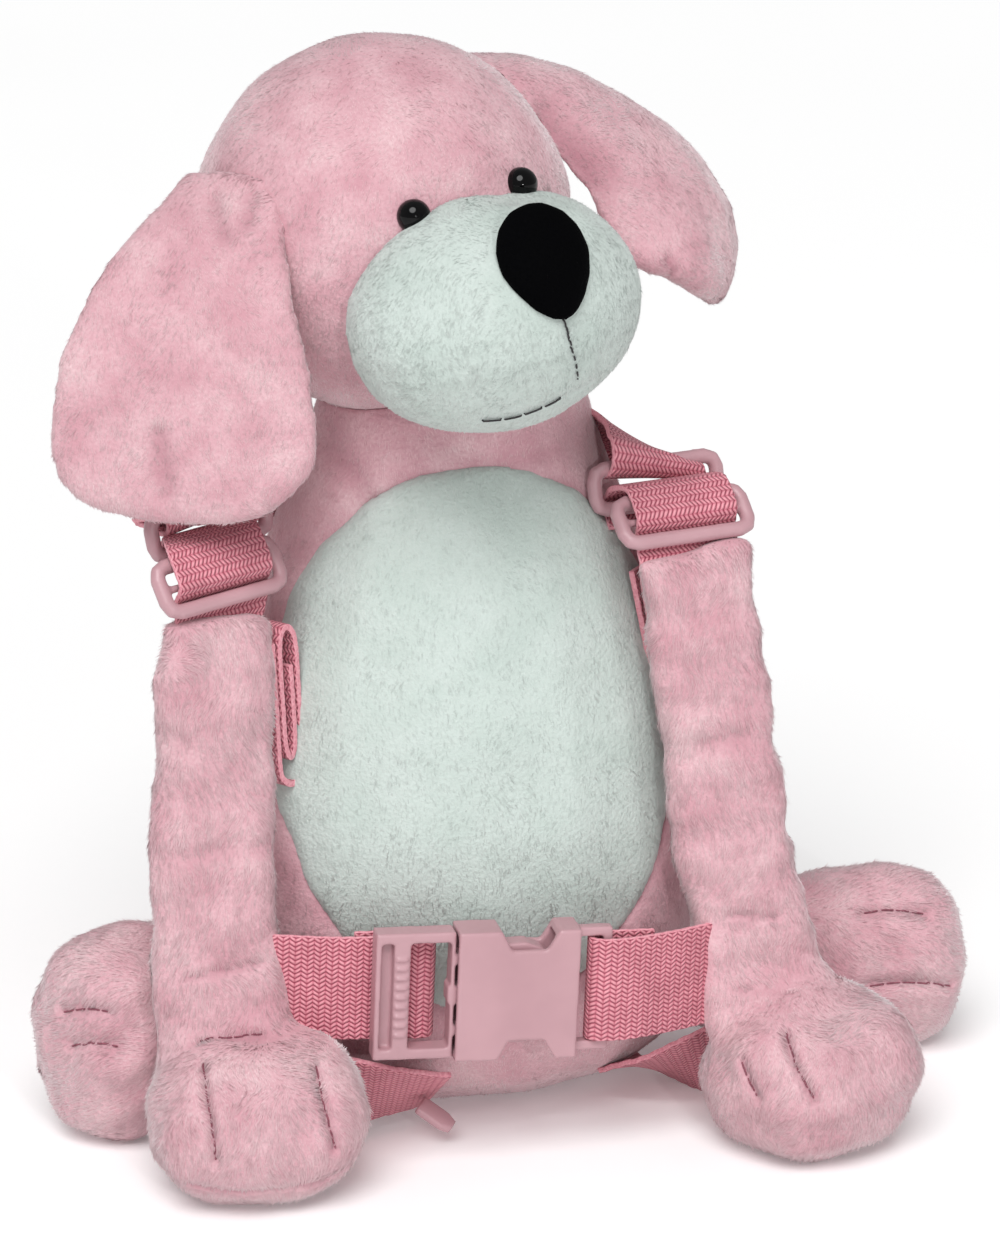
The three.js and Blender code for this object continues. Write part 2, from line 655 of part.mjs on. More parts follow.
// Its slack is a second piece of web that hangs beside the sleeve in two loops, one in the other:
// x, y and z place the front edge as shares of the body, lean is how far x moves as it hangs,
// heading is that of the width and length a share of hangLength
const slacks = {
  right: { x: -0.76, y: -0.345, z: 0.71, lean: 0.03, heading: 130, length: 0.6 },
  left: { x: 0.63, y: -0.34, z: 0.78, lean: 0.2, heading: 53, length: 0.96 },
};
const slackRows = [
  { spread: -1, depth: 0.08 },
  { spread: -1, depth: 0.5 },
  { spread: -1, depth: 0.88 },
  { spread: -0.6, depth: 0.97 },
  { spread: 0, depth: 1 },
  { spread: 0.6, depth: 0.97 },
  { spread: 1, depth: 0.88 },
  { spread: 1, depth: 0.5 },
  { spread: 1, depth: 0.14 },
  { spread: 0.75, depth: 0.04 },
  { spread: 0.25, depth: 0 },
  { spread: -0.25, depth: 0.05 },
  { spread: -0.42, depth: 0.18 },
  { spread: -0.45, depth: 0.5 },
  { spread: -0.4, depth: 0.74 },
  { spread: 0, depth: 0.83 },
  { spread: 0.4, depth: 0.74 },
  { spread: 0.45, depth: 0.45 },
  { spread: 0.42, depth: 0.25 },
];

function makeSlackWeb(name) {
  const slack = slacks[name];
  const heading = radians(slack.heading);
  const across = at(Math.cos(heading), Math.sin(heading), 0);
  const open = at(Math.sin(heading), -Math.cos(heading), 0);
  const points = slackRows.map((row) => {
    const x = ((slack.x + slack.lean * row.depth) * bodyWidth) / 2;
    const z = slack.z * bodyHeight - row.depth * slack.length * hangLength;
    const point = at(x, slack.y * bodyDepth, z).addScaledVector(across, webWidth / 2);
    return point.addScaledVector(open, (row.spread * slackSpread) / 2);
  });
  return cut(band(points, [across, across], webWidth, 38), sleeveForm(name, gap), bodyForm(gap));
}

// Upper web: out of the shoulder, over the ring's top bar and back beneath it
function makeUpperWeb(name) {
  const { side } = shoulders[name];
  const matrix = ringMatrix(name);
  const top = ringHeight - barDiameter;
  const anchor = at((side * 0.38 * bodyWidth) / 2, 0.19 * bodyDepth, 0.915 * bodyHeight);
  const profile = [
    { back: 0.9 * ringHeight, up: 1.4 * layer },
    { back: 0.3 * layer, up: 1.02 * layer },
    { back: -0.75 * layer, up: 0.75 * layer },
    { back: -1.05 * layer, up: 0 },
    { back: -0.75 * layer, up: -0.75 * layer },
    { back: 0.3 * layer, up: -1.02 * layer },
    { back: 0.9 * ringHeight, up: -0.6 * layer },
  ];
  const hook = profile.map((row) => at(0, row.back, top + row.up).applyMatrix4(matrix));
  const across = at(1, 0, 0).transformDirection(matrix);
  const strap = band([anchor, ...hook], [across, across], webWidth, 26);
  return cut(strap, bodyForm(gap));
}

// Belt: the buckle's frame has the webbing along X and the front along -Y
const beltMatrix = standAt(
  at(-0.027 * bodyWidth, -0.56 * bodyDepth - buckleThickness / 2, bodyHeight / 4),
  0,
  2.5,
  0,
);
const frameThickness = 0.6 * buckleThickness;
const windowHalf = webWidth / 2 + gap;
const buckleEnd = buckleLength / 2;
const seam = -0.16 * buckleLength;
const ladderBar = 0.07 * buckleLength;

function block(left, right, front, back, low, high) {
  const box = new THREE.BoxGeometry(right - left, back - front, high - low);
  return box.translate((left + right) / 2, (front + back) / 2, (low + high) / 2);
}

// Male half: a ladder frame for the webbing, a guide and two springy arms with shoulders
function makeBuckleMale() {
  const high = buckleHeight / 2 - gap;
  const half = frameThickness / 2;
  const outline = new THREE.Shape(rectangle(-buckleEnd, seam - gap, -high, high).getPoints());
  const windowLeft = -buckleEnd + bailLength;
  outline.holes.push(rectangle(windowLeft, seam - ladderBar / 3, -windowHalf, windowHalf));
  const frame = plate(outline, frameThickness, 0);
  const recessLeft = -buckleEnd + ladderBar / 3;
  const recess = block(recessLeft, windowLeft - ladderBar, -half - 1, 0, -windowHalf, windowHalf);
  const ribs = [];
  for (let i = 0; i < ribCount; i += 1) {
    const level = THREE.MathUtils.lerp(-0.72, 0.72, i / (ribCount - 1)) * windowHalf;
    const left = windowLeft - 0.85 * ladderBar;
    const right = windowLeft - 0.2 * ladderBar;
    const lift = ribHeight / 2;
    ribs.push(block(left, right, -half - ribProud, -half + ribProud / 3, level - lift, level + lift));
  }
  const inner = (buckleThickness - 2 * buckleWall) / 2 - gap;
  const guideHalf = guideHeight / 2;
  const guide = block(seam - ladderBar / 2, 0.2 * buckleLength, -inner, inner, -guideHalf, guideHalf);
  const armRows = [
    { x: seam - ladderBar / 3, z: 0.62 },
    { x: -0.06 * buckleLength, z: 0.7 },
    { x: 0.04 * buckleLength, z: 0.78 },
    { x: 0.13 * buckleLength, z: 0.8 },
    { x: 0.2 * buckleLength, z: 0.7 },
    { x: 0.26 * buckleLength, z: 0.52 },
  ];
  const arm = new THREE.Shape();
  armRows.forEach((row, i) => arm[i ? 'lineTo' : 'moveTo'](row.x, row.z * high));
  armRows.reverse().forEach((row) => arm.lineTo(row.x, row.z * high - armThickness));
  const upper = plate(arm, 2 * inner, 0);
  const lower = upper.clone().rotateX(Math.PI);
  return join(cut(frame, recess), ...ribs, guide, upper, lower).applyMatrix4(beltMatrix);
}

// Female half: a hollow body with side windows for the arms and a bar for the webbing
function makeBuckleFemale() {
  const high = buckleHeight / 2;
  const end = buckleEnd - bailLength;
  const notchLow = 0.7 * high;
  const notch = [0.02, 0.065, 0.215, 0.265].map((share) => share * buckleLength);
  const outline = new THREE.Shape();
  outline.moveTo(seam, -high);
  for (const [x, z] of [
    [notch[0], -high],
    [notch[1], -notchLow],
    [notch[2], -notchLow],
    [notch[3], -high],
    [end, -high],
    [end, high],
    [notch[3], high],
    [notch[2], notchLow],
    [notch[1], notchLow],
    [notch[0], high],
    [seam, high],
  ]) outline.lineTo(x, z);
  const shell = plate(outline, buckleThickness, 0);
  const inside = buckleThickness / 2 - buckleWall;
  const roof = high - buckleWall;
  const hollow = block(seam - 1, end - 2 * buckleWall, -inside, inside, -roof, roof);
  const root = end - buckleWall / 2;
  const bail = new THREE.Shape(rectangle(root, buckleEnd, -high + 2 * gap, high - 2 * gap).getPoints());
  bail.holes.push(rectangle(end + gap, buckleEnd - bailBar, -windowHalf, windowHalf));
  return join(cut(shell, hollow), plate(bail, bailThickness, 0)).applyMatrix4(beltMatrix);
}

// Belt webbing: each half turns round its bar in the buckle and runs into a sleeve
const beltRows = {
  right: [
    { x: -0.98, back: 0.95 },
    { x: -0.76, back: 0.62 },
    { x: -0.62, back: 0.48 },
    { x: -0.5, back: 0.44 },
    { x: -0.36, back: 0.43 },
    { x: -0.29, back: 0.34 },
    { x: -0.245, back: 0.45 },
    { x: -0.235, back: 0.62 },
    { x: -0.27, back: 0.74 },
    { x: -0.38, back: 0.77 },
    { x: -0.56, back: 0.82 },
  ],
  left: [
    { x: 0.97, back: 0.66 },
    { x: 0.9, back: 0.46 },
    { x: 0.8, back: 0.2 },
    { x: 0.68, back: -0.06 },
    { x: 0.58, back: -0.24 },
    { x: 0.48, back: -0.3 },
    { x: 0.43, back: -0.22 },
    { x: 0.412, back: 0 },
    { x: 0.43, back: 0.22 },
    { x: 0.48, back: 0.31 },
    { x: 0.58, back: 0.32 },
    { x: 0.7, back: 0.33 },
  ],
};

function makeBeltWeb(name) {
  const points = beltRows[name].map((row) => {
    return at(row.x * buckleLength, row.back * buckleThickness, 0).applyMatrix4(beltMatrix);
  });
  const up = at(0, 0, 1).transformDirection(beltMatrix);
  return cut(band(points, [up, up], webWidth, 28), sleeveForm(name, gap), pawForm(name, gap));
}

// Side webbing: from behind each paw down to the foot of the body, turning to lie flat
const sideRows = {
  right: [
    { x: -0.95, y: -0.43, z: 0.75 },
    { x: -0.76, y: -0.46, z: 0.68 },
    { x: -0.56, y: -0.46, z: 0.62 },
    { x: -0.38, y: -0.44, z: 0.56 },
    { x: -0.2, y: -0.42, z: 0.52 },
  ],
  left: [
    { x: 1.14, y: -0.42, z: 0.75 },
    { x: 1.0, y: -0.4, z: 0.6 },
    { x: 0.87, y: -0.34, z: 0.42 },
    { x: 0.75, y: -0.26, z: 0.28 },
    { x: 0.6, y: -0.16, z: 0.22 },
  ],
};
const sideTurns = {
  right: [at(0, 0, 1), at(0, -0.2, 0.97), at(0, -0.5, 0.85), at(0, -0.75, 0.66), at(0.1, -0.8, 0.6)],
  left: [at(0, 0, 1), at(-0.2, -0.4, 0.9), at(-0.4, -0.6, 0.66), at(-0.5, -0.8, 0.4), at(-0.5, -0.85, 0.15)],
};

const sidePlace = (row) => at((row.x * bodyWidth) / 2, row.y * bodyDepth, row.z * webWidth);

function makeSideWeb(name) {
  const strap = band(sideRows[name].map(sidePlace), sideTurns[name], webWidth, 14);
  return cut(strap, sleeveForm(name, gap), pawForm(name, gap), bodyForm(gap));
}

// A plastic tab with a round end that hangs from the end of the right side web
function makeTab() {
  const top = sidePlace(sideRows.right.at(-1));
  const along = at(0.76, -0.34, -0.55).normalize();
  const aside = at(0.5, 0.8, 0.2);
  const wide = aside.clone().addScaledVector(along, -aside.dot(along)).normalize();
  const flat = at(0, 0, 0).crossVectors(wide, along);
  const tabDrop = webThickness + tabThickness / 2 + gap;
  const sections = [0, 0.3, 0.75, 1].map((share) => {
    const half = (tabWidth / 2) * (share === 1 ? 0.6 : 1);
    const centre = top.clone().add(at(-0.5 * tabLength, -0.1 * tabLength, -tabDrop));
    return {
      centre: centre.addScaledVector(along, share * tabLength),
      side: wide.clone().multiplyScalar(half),
      face: flat.clone().multiplyScalar(tabThickness / 2),
      fullness: 1.3,
    };
  });
  return cut(loft(sections, 10), bodyForm(gap));
}

const group = new THREE.Group();

function addMesh(name, geometry, look) {
  const welded = weld(geometry);
  welded.computeVertexNormals();
  const mesh = new THREE.Mesh(welded, new THREE.MeshStandardMaterial(look));
  mesh.name = name;
  group.add(mesh);
}

addMesh('body', makeBody(), pinkPlush);
addMesh('belly_panel', makePanel(), palePlush);
addMesh('zip_tape', makeZip(), pinkWebbing);
addMesh('head', skullForm(0), pinkPlush);
addMesh('muzzle', makeMuzzle(), palePlush);
addMesh('nose', makeNose(), blackFelt);
addMesh('side_tab', makeTab(), pinkPlastic);
addMesh('buckle_male', makeBuckleMale(), pinkPlastic);
addMesh('buckle_female', makeBuckleFemale(), pinkPlastic);

for (const [name, side] of [['right', -1], ['left', 1]]) {
  addMesh(`eye_${name}`, makeEye(side), blackGloss);
  addMesh(`ear_${name}`, makeEar(name, side), pinkPlush);
  addMesh(`strap_sleeve_${name}`, makeSleeve(name), pinkPlush);
  addMesh(`front_paw_${name}`, pawForm(name, 0), pinkPlush);
  addMesh(`hind_leg_${name}`, makeLeg(name), pinkPlush);
  addMesh(`slider_${name}`, makeSlider(name), pinkPlastic);
  addMesh(`ring_${name}`, ringForm(name, 0), pinkPlastic);
  addMesh(`adjuster_web_${name}`, makeAdjusterWeb(name), pinkWebbing);
  addMesh(`slack_web_${name}`, makeSlackWeb(name), pinkWebbing);
  addMesh(`upper_web_${name}`, makeUpperWeb(name), pinkWebbing);
  addMesh(`belt_web_${name}`, makeBeltWeb(name), pinkWebbing);
  addMesh(`side_web_${name}`, makeSideWeb(name), pinkWebbing);
}

// The origin is on the ground, under the middle of the whole
const bounds = new THREE.Box3().setFromObject(group);
const middle = bounds.getCenter(at(0, 0, 0));
for (const mesh of group.children) mesh.geometry.translate(-middle.x, -middle.y, -bounds.min.z);

export default group;
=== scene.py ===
import math

import bmesh
import bpy
import numpy as np
from mathutils import Euler, Matrix, Vector
from mathutils.bvhtree import BVHTree


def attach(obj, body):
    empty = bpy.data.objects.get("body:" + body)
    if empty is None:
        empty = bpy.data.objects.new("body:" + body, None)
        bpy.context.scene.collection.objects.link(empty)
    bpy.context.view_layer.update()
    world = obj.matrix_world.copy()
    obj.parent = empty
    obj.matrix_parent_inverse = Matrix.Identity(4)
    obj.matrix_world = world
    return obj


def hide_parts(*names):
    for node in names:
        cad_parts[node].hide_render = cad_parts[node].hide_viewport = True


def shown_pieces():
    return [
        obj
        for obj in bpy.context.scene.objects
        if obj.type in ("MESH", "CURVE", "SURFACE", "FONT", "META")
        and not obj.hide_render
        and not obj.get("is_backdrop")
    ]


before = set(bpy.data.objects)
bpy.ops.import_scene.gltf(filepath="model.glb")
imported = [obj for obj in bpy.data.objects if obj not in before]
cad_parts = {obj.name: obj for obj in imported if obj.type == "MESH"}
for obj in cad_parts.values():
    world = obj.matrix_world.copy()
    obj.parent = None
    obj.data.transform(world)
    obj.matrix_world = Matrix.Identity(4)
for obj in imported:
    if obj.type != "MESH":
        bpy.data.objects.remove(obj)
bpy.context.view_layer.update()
scene = bpy.context.scene
mm = 0.001

# Driving sizes of the part in mm; places on it are shares of them, and shift leads to the frame's origin
part = {
    "bodyHeight": 170,
    "bodyWidth": 116,
    "bodyDepth": 96,
    "skullRadius": 41,
    "bar": 1.8,
    "gap": 0.3,
    "webWidth": 24,
    "webThickness": 1.5,
    "sliderHeight": 14,
    "ringHeight": 12.6,
    "buckleLength": 53,
    "buckleThickness": 9,
    "slackSpread": 7.6,
    "hangLength": 60,
    "shift": (-11.571, 16.046, 0),
}

# Camera
shot = {
    "azimuth": -12,
    "elevation": 17,
    "distance": 1.0,
    "target": (-0.00357, 0.00105, 0.112),
    "focal": 4450,  # pixels of the whole photograph
    "width": 1000,
    "height": 1256,
}


def cameraAxes():
    az, el = math.radians(shot["azimuth"]), math.radians(shot["elevation"])
    back = Vector((math.sin(az) * math.cos(el), -math.cos(az) * math.cos(el), math.sin(el)))
    right = Vector((math.cos(az), math.sin(az), 0))
    return right, back.cross(right), back


def makeCamera():
    right, up, back = cameraAxes()
    lens = bpy.data.cameras.new("camera")
    lens.lens = shot["focal"] / shot["height"] * 36
    lens.sensor_width = 36
    lens.clip_end = 60
    view = bpy.data.objects.new("camera", lens)
    scene.collection.objects.link(view)
    turn = Matrix((right, up, back)).transposed().to_4x4()
    view.matrix_world = Matrix.Translation(Vector(shot["target"]) + back * shot["distance"]) @ turn
    scene.camera = view


def rayOf(x, y):
    right, up, back = cameraAxes()
    start = Vector(shot["target"]) + back * shot["distance"]
    across = (x - shot["width"] / 2) / shot["focal"]
    rise = (shot["height"] / 2 - y) / shot["focal"]
    return start, (right * across + up * rise - back).normalized()


makeCamera()
print("camera placed")

# Materials
def linear(value):
    value /= 255
    return value / 12.92 if value <= 0.04045 else ((value + 0.055) / 1.055) ** 2.4


def tint(red, green, blue):
    return (linear(red), linear(green), linear(blue), 1)


def newMaterial(name, **values):
    mat = bpy.data.materials.new(name)
    mat.use_nodes = True
    shader = mat.node_tree.nodes["Principled BSDF"]
    for socket, value in values.items():
        shader.inputs[socket.replace("_", " ")].default_value = value
    return mat, mat.node_tree, shader


def addNode(tree, kind, **values):
    node = tree.nodes.new(kind)
    for key, value in values.items():
        setattr(node, key, value)
    return node


def calc(tree, operation, a, b=None):
    node = addNode(tree, "ShaderNodeMath", operation=operation)
    for slot, value in enumerate((a, b)):
        if value is None:
            continue
        if isinstance(value, (int, float)):
            node.inputs[slot].default_value = value
        else:
            tree.links.new(value, node.inputs[slot])
    return node.outputs[0]


def noiseOf(tree, scale, detail=2):
    node = addNode(tree, "ShaderNodeTexNoise")
    node.inputs["Scale"].default_value = scale
    node.inputs["Detail"].default_value = detail
    tree.links.new(addNode(tree, "ShaderNodeTexCoord").outputs["Object"], node.inputs["Vector"])
    return node.outputs["Fac"]


def rampOf(tree, factor, stops):
    node = addNode(tree, "ShaderNodeValToRGB")
    ramp = node.color_ramp
    ramp.elements[0].position, ramp.elements[0].color = stops[0]
    ramp.elements[1].position, ramp.elements[1].color = stops[-1]
    for place, color in stops[1:-1]:
        ramp.elements.new(place).color = color
    tree.links.new(factor, node.inputs["Fac"])
    return node.outputs["Color"]


def mixColors(tree, factor, a, b, blend="MIX"):
    node = addNode(tree, "ShaderNodeMix", data_type="RGBA", blend_type=blend)
    for slot, value in ((0, factor), (6, a), (7, b)):
        if hasattr(value, "node"):
            tree.links.new(value, node.inputs[slot])
        else:
            node.inputs[slot].default_value = value
    return node.outputs[2]


def addBump(tree, shader, height, distance, strength=1.0):
    node = addNode(tree, "ShaderNodeBump")
    node.inputs["Strength"].default_value = strength
    node.inputs["Distance"].default_value = distance
    tree.links.new(height, node.inputs["Height"])
    tree.links.new(node.outputs["Normal"], shader.inputs["Normal"])


def roughBetween(tree, shader, low, high, scale):
    node = addNode(tree, "ShaderNodeMapRange")
    node.inputs["To Min"].default_value = low
    node.inputs["To Max"].default_value = high
    tree.links.new(noiseOf(tree, scale), node.inputs["Value"])
    tree.links.new(node.outputs[0], shader.inputs["Roughness"])


# Colours are sRGB values from 0 to 255; each fur's crease colour is painted shade for the creases
pinkFur = {
    "root": (195, 144, 154),
    "middle": (220, 180, 187),
    "tip": (240, 220, 221),
    "patch": (202, 152, 162),
    "worn": (232, 204, 207),
    "creaseShade": (134, 72, 88),
}
paleFur = {
    "root": (184, 196, 190),
    "middle": (197, 207, 202),
    "tip": (216, 223, 220),
    "patch": (186, 198, 192),
    "worn": (203, 212, 208),
    "creaseShade": (176, 178, 180),
}
blackFur = {
    "root": (2, 2, 3),
    "middle": (5, 5, 6),
    "tip": (11, 11, 13),
    "patch": (4, 4, 5),
    "worn": (6, 6, 7),
    "creaseShade": (2, 2, 2),
}


furTexture = {
    "rough": 0.92,
    "sheenRough": 0.45,
    "patchScale": 85,
    "patchDetail": 4,
    "patchStops": (0.32, 0.52, 0.74),
    "patchShare": 0.6,
    "speckScale": 1300,
    "bumpScale": 1100,
    "bump": 0.5 * mm,
    "bumpStrength": 0.7,
}


def furMaterials(name, look, sheen, shine=0.2):
    mats = []
    for part in ("Skin", "Pile"):
        mat, tree, shader = newMaterial(
            name + part,
            Roughness=furTexture["rough"],
            Sheen_Weight=sheen,
            Sheen_Roughness=furTexture["sheenRough"],
            Specular_IOR_Level=shine,
        )
        worn = [(stop, tint(*look[key])) for stop, key in zip(furTexture["patchStops"], ("patch", "middle", "worn"))]
        patches = rampOf(tree, noiseOf(tree, furTexture["patchScale"], furTexture["patchDetail"]), worn)
        if part == "Pile":
            uv = addNode(tree, "ShaderNodeUVMap", uv_map="pile")
            split = addNode(tree, "ShaderNodeSeparateXYZ")
            tree.links.new(uv.outputs["UV"], split.inputs[0])
            stops = [(0.0, tint(*look["root"])), (0.5, tint(*look["middle"])), (1.0, tint(*look["tip"]))]
            strand = rampOf(tree, split.outputs["Y"], stops)
            color = mixColors(tree, furTexture["patchShare"], strand, patches)
            single = rampOf(tree, split.outputs["X"], [(0.0, (0.94, 0.93, 0.93, 1)), (1.0, (1, 1, 1, 1))])
            color = mixColors(tree, 1.0, color, single, "MULTIPLY")
        else:
            color = mixColors(tree, noiseOf(tree, furTexture["speckScale"]), tint(*look["root"]), patches)
            grain = noiseOf(tree, furTexture["bumpScale"], 3)
            addBump(tree, shader, grain, furTexture["bump"], furTexture["bumpStrength"])
        # Painted shade: the crease value mixes the fur towards its darker crease colour
        shade = addNode(tree, "ShaderNodeAttribute", attribute_name="creaseShade")
        color = mixColors(tree, shade.outputs["Fac"], color, tint(*look["creaseShade"]))
        tree.links.new(color, shader.inputs["Base Color"])
        mats.append(mat)
    return mats


# The valley colour is painted shade between the yarns and the high colour is a painted highlight on their tops
weave = {
    "pitch": 1.05 * mm,  # one yarn across the width
    "leg": 1.35 * mm,  # one leg of a zigzag along the length
    "slope": 0.8,
    "yarn": (202, 110, 128),
    "high": (232, 160, 170),
    "valleyShade": (150, 44, 68),
    "wanderScale": 700,
    "wander": 0.35,
    "yarnPower": 0.7,
    "pickPower": 0.5,
    "pickShare": 0.55,
    "strandScale": 2600,
    "strandShare": 0.25,
    "patchScale": 160,
    "bump": 0.35 * mm,
}


def webbingMaterial():
    mat, tree, shader = newMaterial("wovenWebbing", Roughness=0.62, Sheen_Weight=0.12, Sheen_Roughness=0.4)
    uv = addNode(tree, "ShaderNodeUVMap", uv_map="weave")
    split = addNode(tree, "ShaderNodeSeparateXYZ")
    tree.links.new(uv.outputs["UV"], split.inputs[0])
    along, across = split.outputs["X"], split.outputs["Y"]
    legs = calc(tree, "DIVIDE", along, weave["leg"])
    zigzag = calc(tree, "MULTIPLY", calc(tree, "PINGPONG", legs, 1.0), weave["slope"])
    rows = calc(tree, "ADD", calc(tree, "DIVIDE", across, weave["pitch"]), zigzag)
    rows = calc(tree, "ADD", rows, calc(tree, "MULTIPLY", noiseOf(tree, weave["wanderScale"]), weave["wander"]))
    yarn = calc(tree, "ABSOLUTE", calc(tree, "SINE", calc(tree, "MULTIPLY", rows, math.pi)))
    picks = calc(tree, "ABSOLUTE", calc(tree, "SINE", calc(tree, "MULTIPLY", legs, math.pi)))
    picks = calc(tree, "MULTIPLY", calc(tree, "POWER", picks, weave["pickPower"]), weave["pickShare"])
    picks = calc(tree, "ADD", picks, 1 - weave["pickShare"])
    relief = calc(tree, "MULTIPLY", calc(tree, "POWER", yarn, weave["yarnPower"]), picks)
    strands = calc(tree, "MULTIPLY", noiseOf(tree, weave["strandScale"]), weave["strandShare"])
    height = calc(tree, "ADD", relief, strands)
    # Painted shade in the valleys and painted highlight on the yarns' tops, following the relief
    stops = [(0.05, tint(*weave["valleyShade"])), (0.5, tint(*weave["yarn"])), (1.0, tint(*weave["high"]))]
    color = rampOf(tree, relief, stops)
    worn = [(0.3, (0.86, 0.82, 0.83, 1)), (0.7, (1, 1, 1, 1))]
    color = mixColors(tree, 1.0, color, rampOf(tree, noiseOf(tree, weave["patchScale"]), worn), "MULTIPLY")
    tree.links.new(color, shader.inputs["Base Color"])
    addBump(tree, shader, height, weave["bump"])
    return mat


selvedge = {"low": (214, 128, 144), "high": (238, 172, 182), "scale": 1700, "bumpScale": 2400, "bump": 0.15 * mm}


def selvedgeMaterial():
    mat, tree, shader = newMaterial("webbingEdge", Roughness=0.7, Sheen_Weight=0.12)
    stops = [(0.3, tint(*selvedge["low"])), (0.7, tint(*selvedge["high"]))]
    color = rampOf(tree, noiseOf(tree, selvedge["scale"]), stops)
    tree.links.new(color, shader.inputs["Base Color"])
    addBump(tree, shader, noiseOf(tree, selvedge["bumpScale"]), selvedge["bump"], 0.7)
    return mat


plastic = {
    "low": (177, 137, 144),
    "high": (188, 147, 154),
    "cloudScale": 60,
    "rough": (0.3, 0.46),
    "roughScale": 900,
    "bumpScale": 2200,
    "bump": 0.02 * mm,
}


def plasticMaterial():
    mat, tree, shader = newMaterial("satinPlastic", Roughness=0.36, Specular_IOR_Level=0.5)
    stops = [(0.3, tint(*plastic["low"])), (0.7, tint(*plastic["high"]))]
    color = rampOf(tree, noiseOf(tree, plastic["cloudScale"], 3), stops)
    tree.links.new(color, shader.inputs["Base Color"])
    roughBetween(tree, shader, *plastic["rough"], plastic["roughScale"])
    addBump(tree, shader, noiseOf(tree, plastic["bumpScale"]), plastic["bump"], 0.4)
    return mat


gloss = {"low": (3, 3, 4), "high": (9, 8, 9), "scale": 400, "rough": (0.05, 0.1), "roughScale": 2500}


def glossMaterial():
    mat, tree, shader = newMaterial("polishedBlack", Roughness=0.07, Specular_IOR_Level=0.22)
    stops = [(0.3, tint(*gloss["low"])), (0.8, tint(*gloss["high"]))]
    tree.links.new(rampOf(tree, noiseOf(tree, gloss["scale"]), stops), shader.inputs["Base Color"])
    roughBetween(tree, shader, *gloss["rough"], gloss["roughScale"])
    return mat


thread = {"scale": 3000, "bumpScale": 4000, "bump": 0.1 * mm}


def threadMaterial(name, dark, light):
    mat, tree, shader = newMaterial(name, Roughness=0.7, Sheen_Weight=0.1)
    color = rampOf(tree, noiseOf(tree, thread["scale"]), [(0.35, tint(*dark)), (0.7, tint(*light))])
    tree.links.new(color, shader.inputs["Base Color"])
    addBump(tree, shader, noiseOf(tree, thread["bumpScale"]), thread["bump"], 0.6)
    return mat


pinkFurMats = furMaterials("pinkPlush", pinkFur, 0.55)
paleFurMats = furMaterials("palePlush", paleFur, 0.3)
blackFurMats = furMaterials("blackVelour", blackFur, 0.0, 0.03)
webbingMat = webbingMaterial()
selvedgeMat = selvedgeMaterial()
plasticMat = plasticMaterial()
glossMat = glossMaterial()
blackThread = threadMaterial("blackThread", (16, 14, 16), (50, 44, 48))
seamThread = threadMaterial("seamThread", (112, 52, 68), (150, 84, 98))
pinkThread = threadMaterial("pinkThread", (176, 84, 104), (214, 130, 146))
print("materials ready")

# Shared tools
def crowdTree(*leftOut):
    points, faces = [], []
    for name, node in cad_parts.items():
        if name in leftOut:
            continue
        node.data.calc_loop_triangles()
        start = len(points)
        points += [v.co.copy() for v in node.data.vertices]
        faces += [tuple(start + i for i in t.vertices) for t in node.data.loop_triangles]
    return BVHTree.FromPolygons(points, faces)


def treeOf(piece):
    mesh = piece.data
    mesh.calc_loop_triangles()
    faces = [tuple(t.vertices) for t in mesh.loop_triangles]
    return BVHTree.FromPolygons([v.co.copy() for v in mesh.vertices], faces)


def addPiece(name, mesh, materials, nodes=()):
    piece = bpy.data.objects.new(name, mesh)
    scene.collection.objects.link(piece)
    if len(mesh.materials) != len(materials):
        mesh.materials.clear()
        for mat in materials:
            mesh.materials.append(mat)
    mesh.shade_smooth()
    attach(piece, "root")
    if nodes:
        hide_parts(*nodes)
    return piece


def bakeModifiers(mesh, steps):
    holder = bpy.data.objects.new("holder", mesh)
    scene.collection.objects.link(holder)
    for kind, values in steps:
        mod = holder.modifiers.new(kind, kind)
        for key, value in values.items():
            setattr(mod, key, value)
    graph = bpy.context.evaluated_depsgraph_get()
    baked = bpy.data.meshes.new_from_object(holder.evaluated_get(graph))
    bpy.data.objects.remove(holder)
    bpy.data.meshes.remove(mesh)
    return baked


def voxelSteps(cell, rounds):
    return [
        ("REMESH", {"mode": "VOXEL", "voxel_size": cell * mm, "adaptivity": 0}),
        ("SMOOTH", {"factor": 0.5, "iterations": rounds}),
    ]


def nodeMesh(*names):
    bm = bmesh.new()
    for name in names:
        bm.from_mesh(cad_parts[name].data)
    bmesh.ops.remove_doubles(bm, verts=bm.verts, dist=1e-6)
    bmesh.ops.dissolve_degenerate(bm, dist=1e-6, edges=bm.edges)
    mesh = bpy.data.meshes.new(names[0] + "Merged")
    bm.to_mesh(mesh)
    bm.free()
    return mesh


def pointsOf(mesh):
    co = np.empty(len(mesh.vertices) * 3, np.float32)
    mesh.vertices.foreach_get("co", co)
    return co.reshape(-1, 3).astype(np.float64)


def normalsOf(mesh):
    normals = np.empty(len(mesh.vertices) * 3, np.float32)
    mesh.vertex_normals.foreach_get("vector", normals)
    return normals.reshape(-1, 3).astype(np.float64)


def movePoints(mesh, co):
    mesh.vertices.foreach_set("co", co.astype(np.float32).ravel())
    mesh.update()


def ripples(points, size, seed, waves=7):
    rng = np.random.default_rng(seed)
    total = np.zeros(len(points))
    for _ in range(waves):
        heading = rng.normal(size=3)
        heading *= 2 * math.pi / (size * rng.uniform(0.7, 1.5)) / np.linalg.norm(heading)
        total += np.sin(points @ heading + rng.uniform(0, 2 * math.pi))
    return total / math.sqrt(waves)


# Soft pieces
stuffing = {"frames": 20, "pressure": 4.0, "quality": 6, "cap": 1.1, "cell": 2.5, "relax": 4}


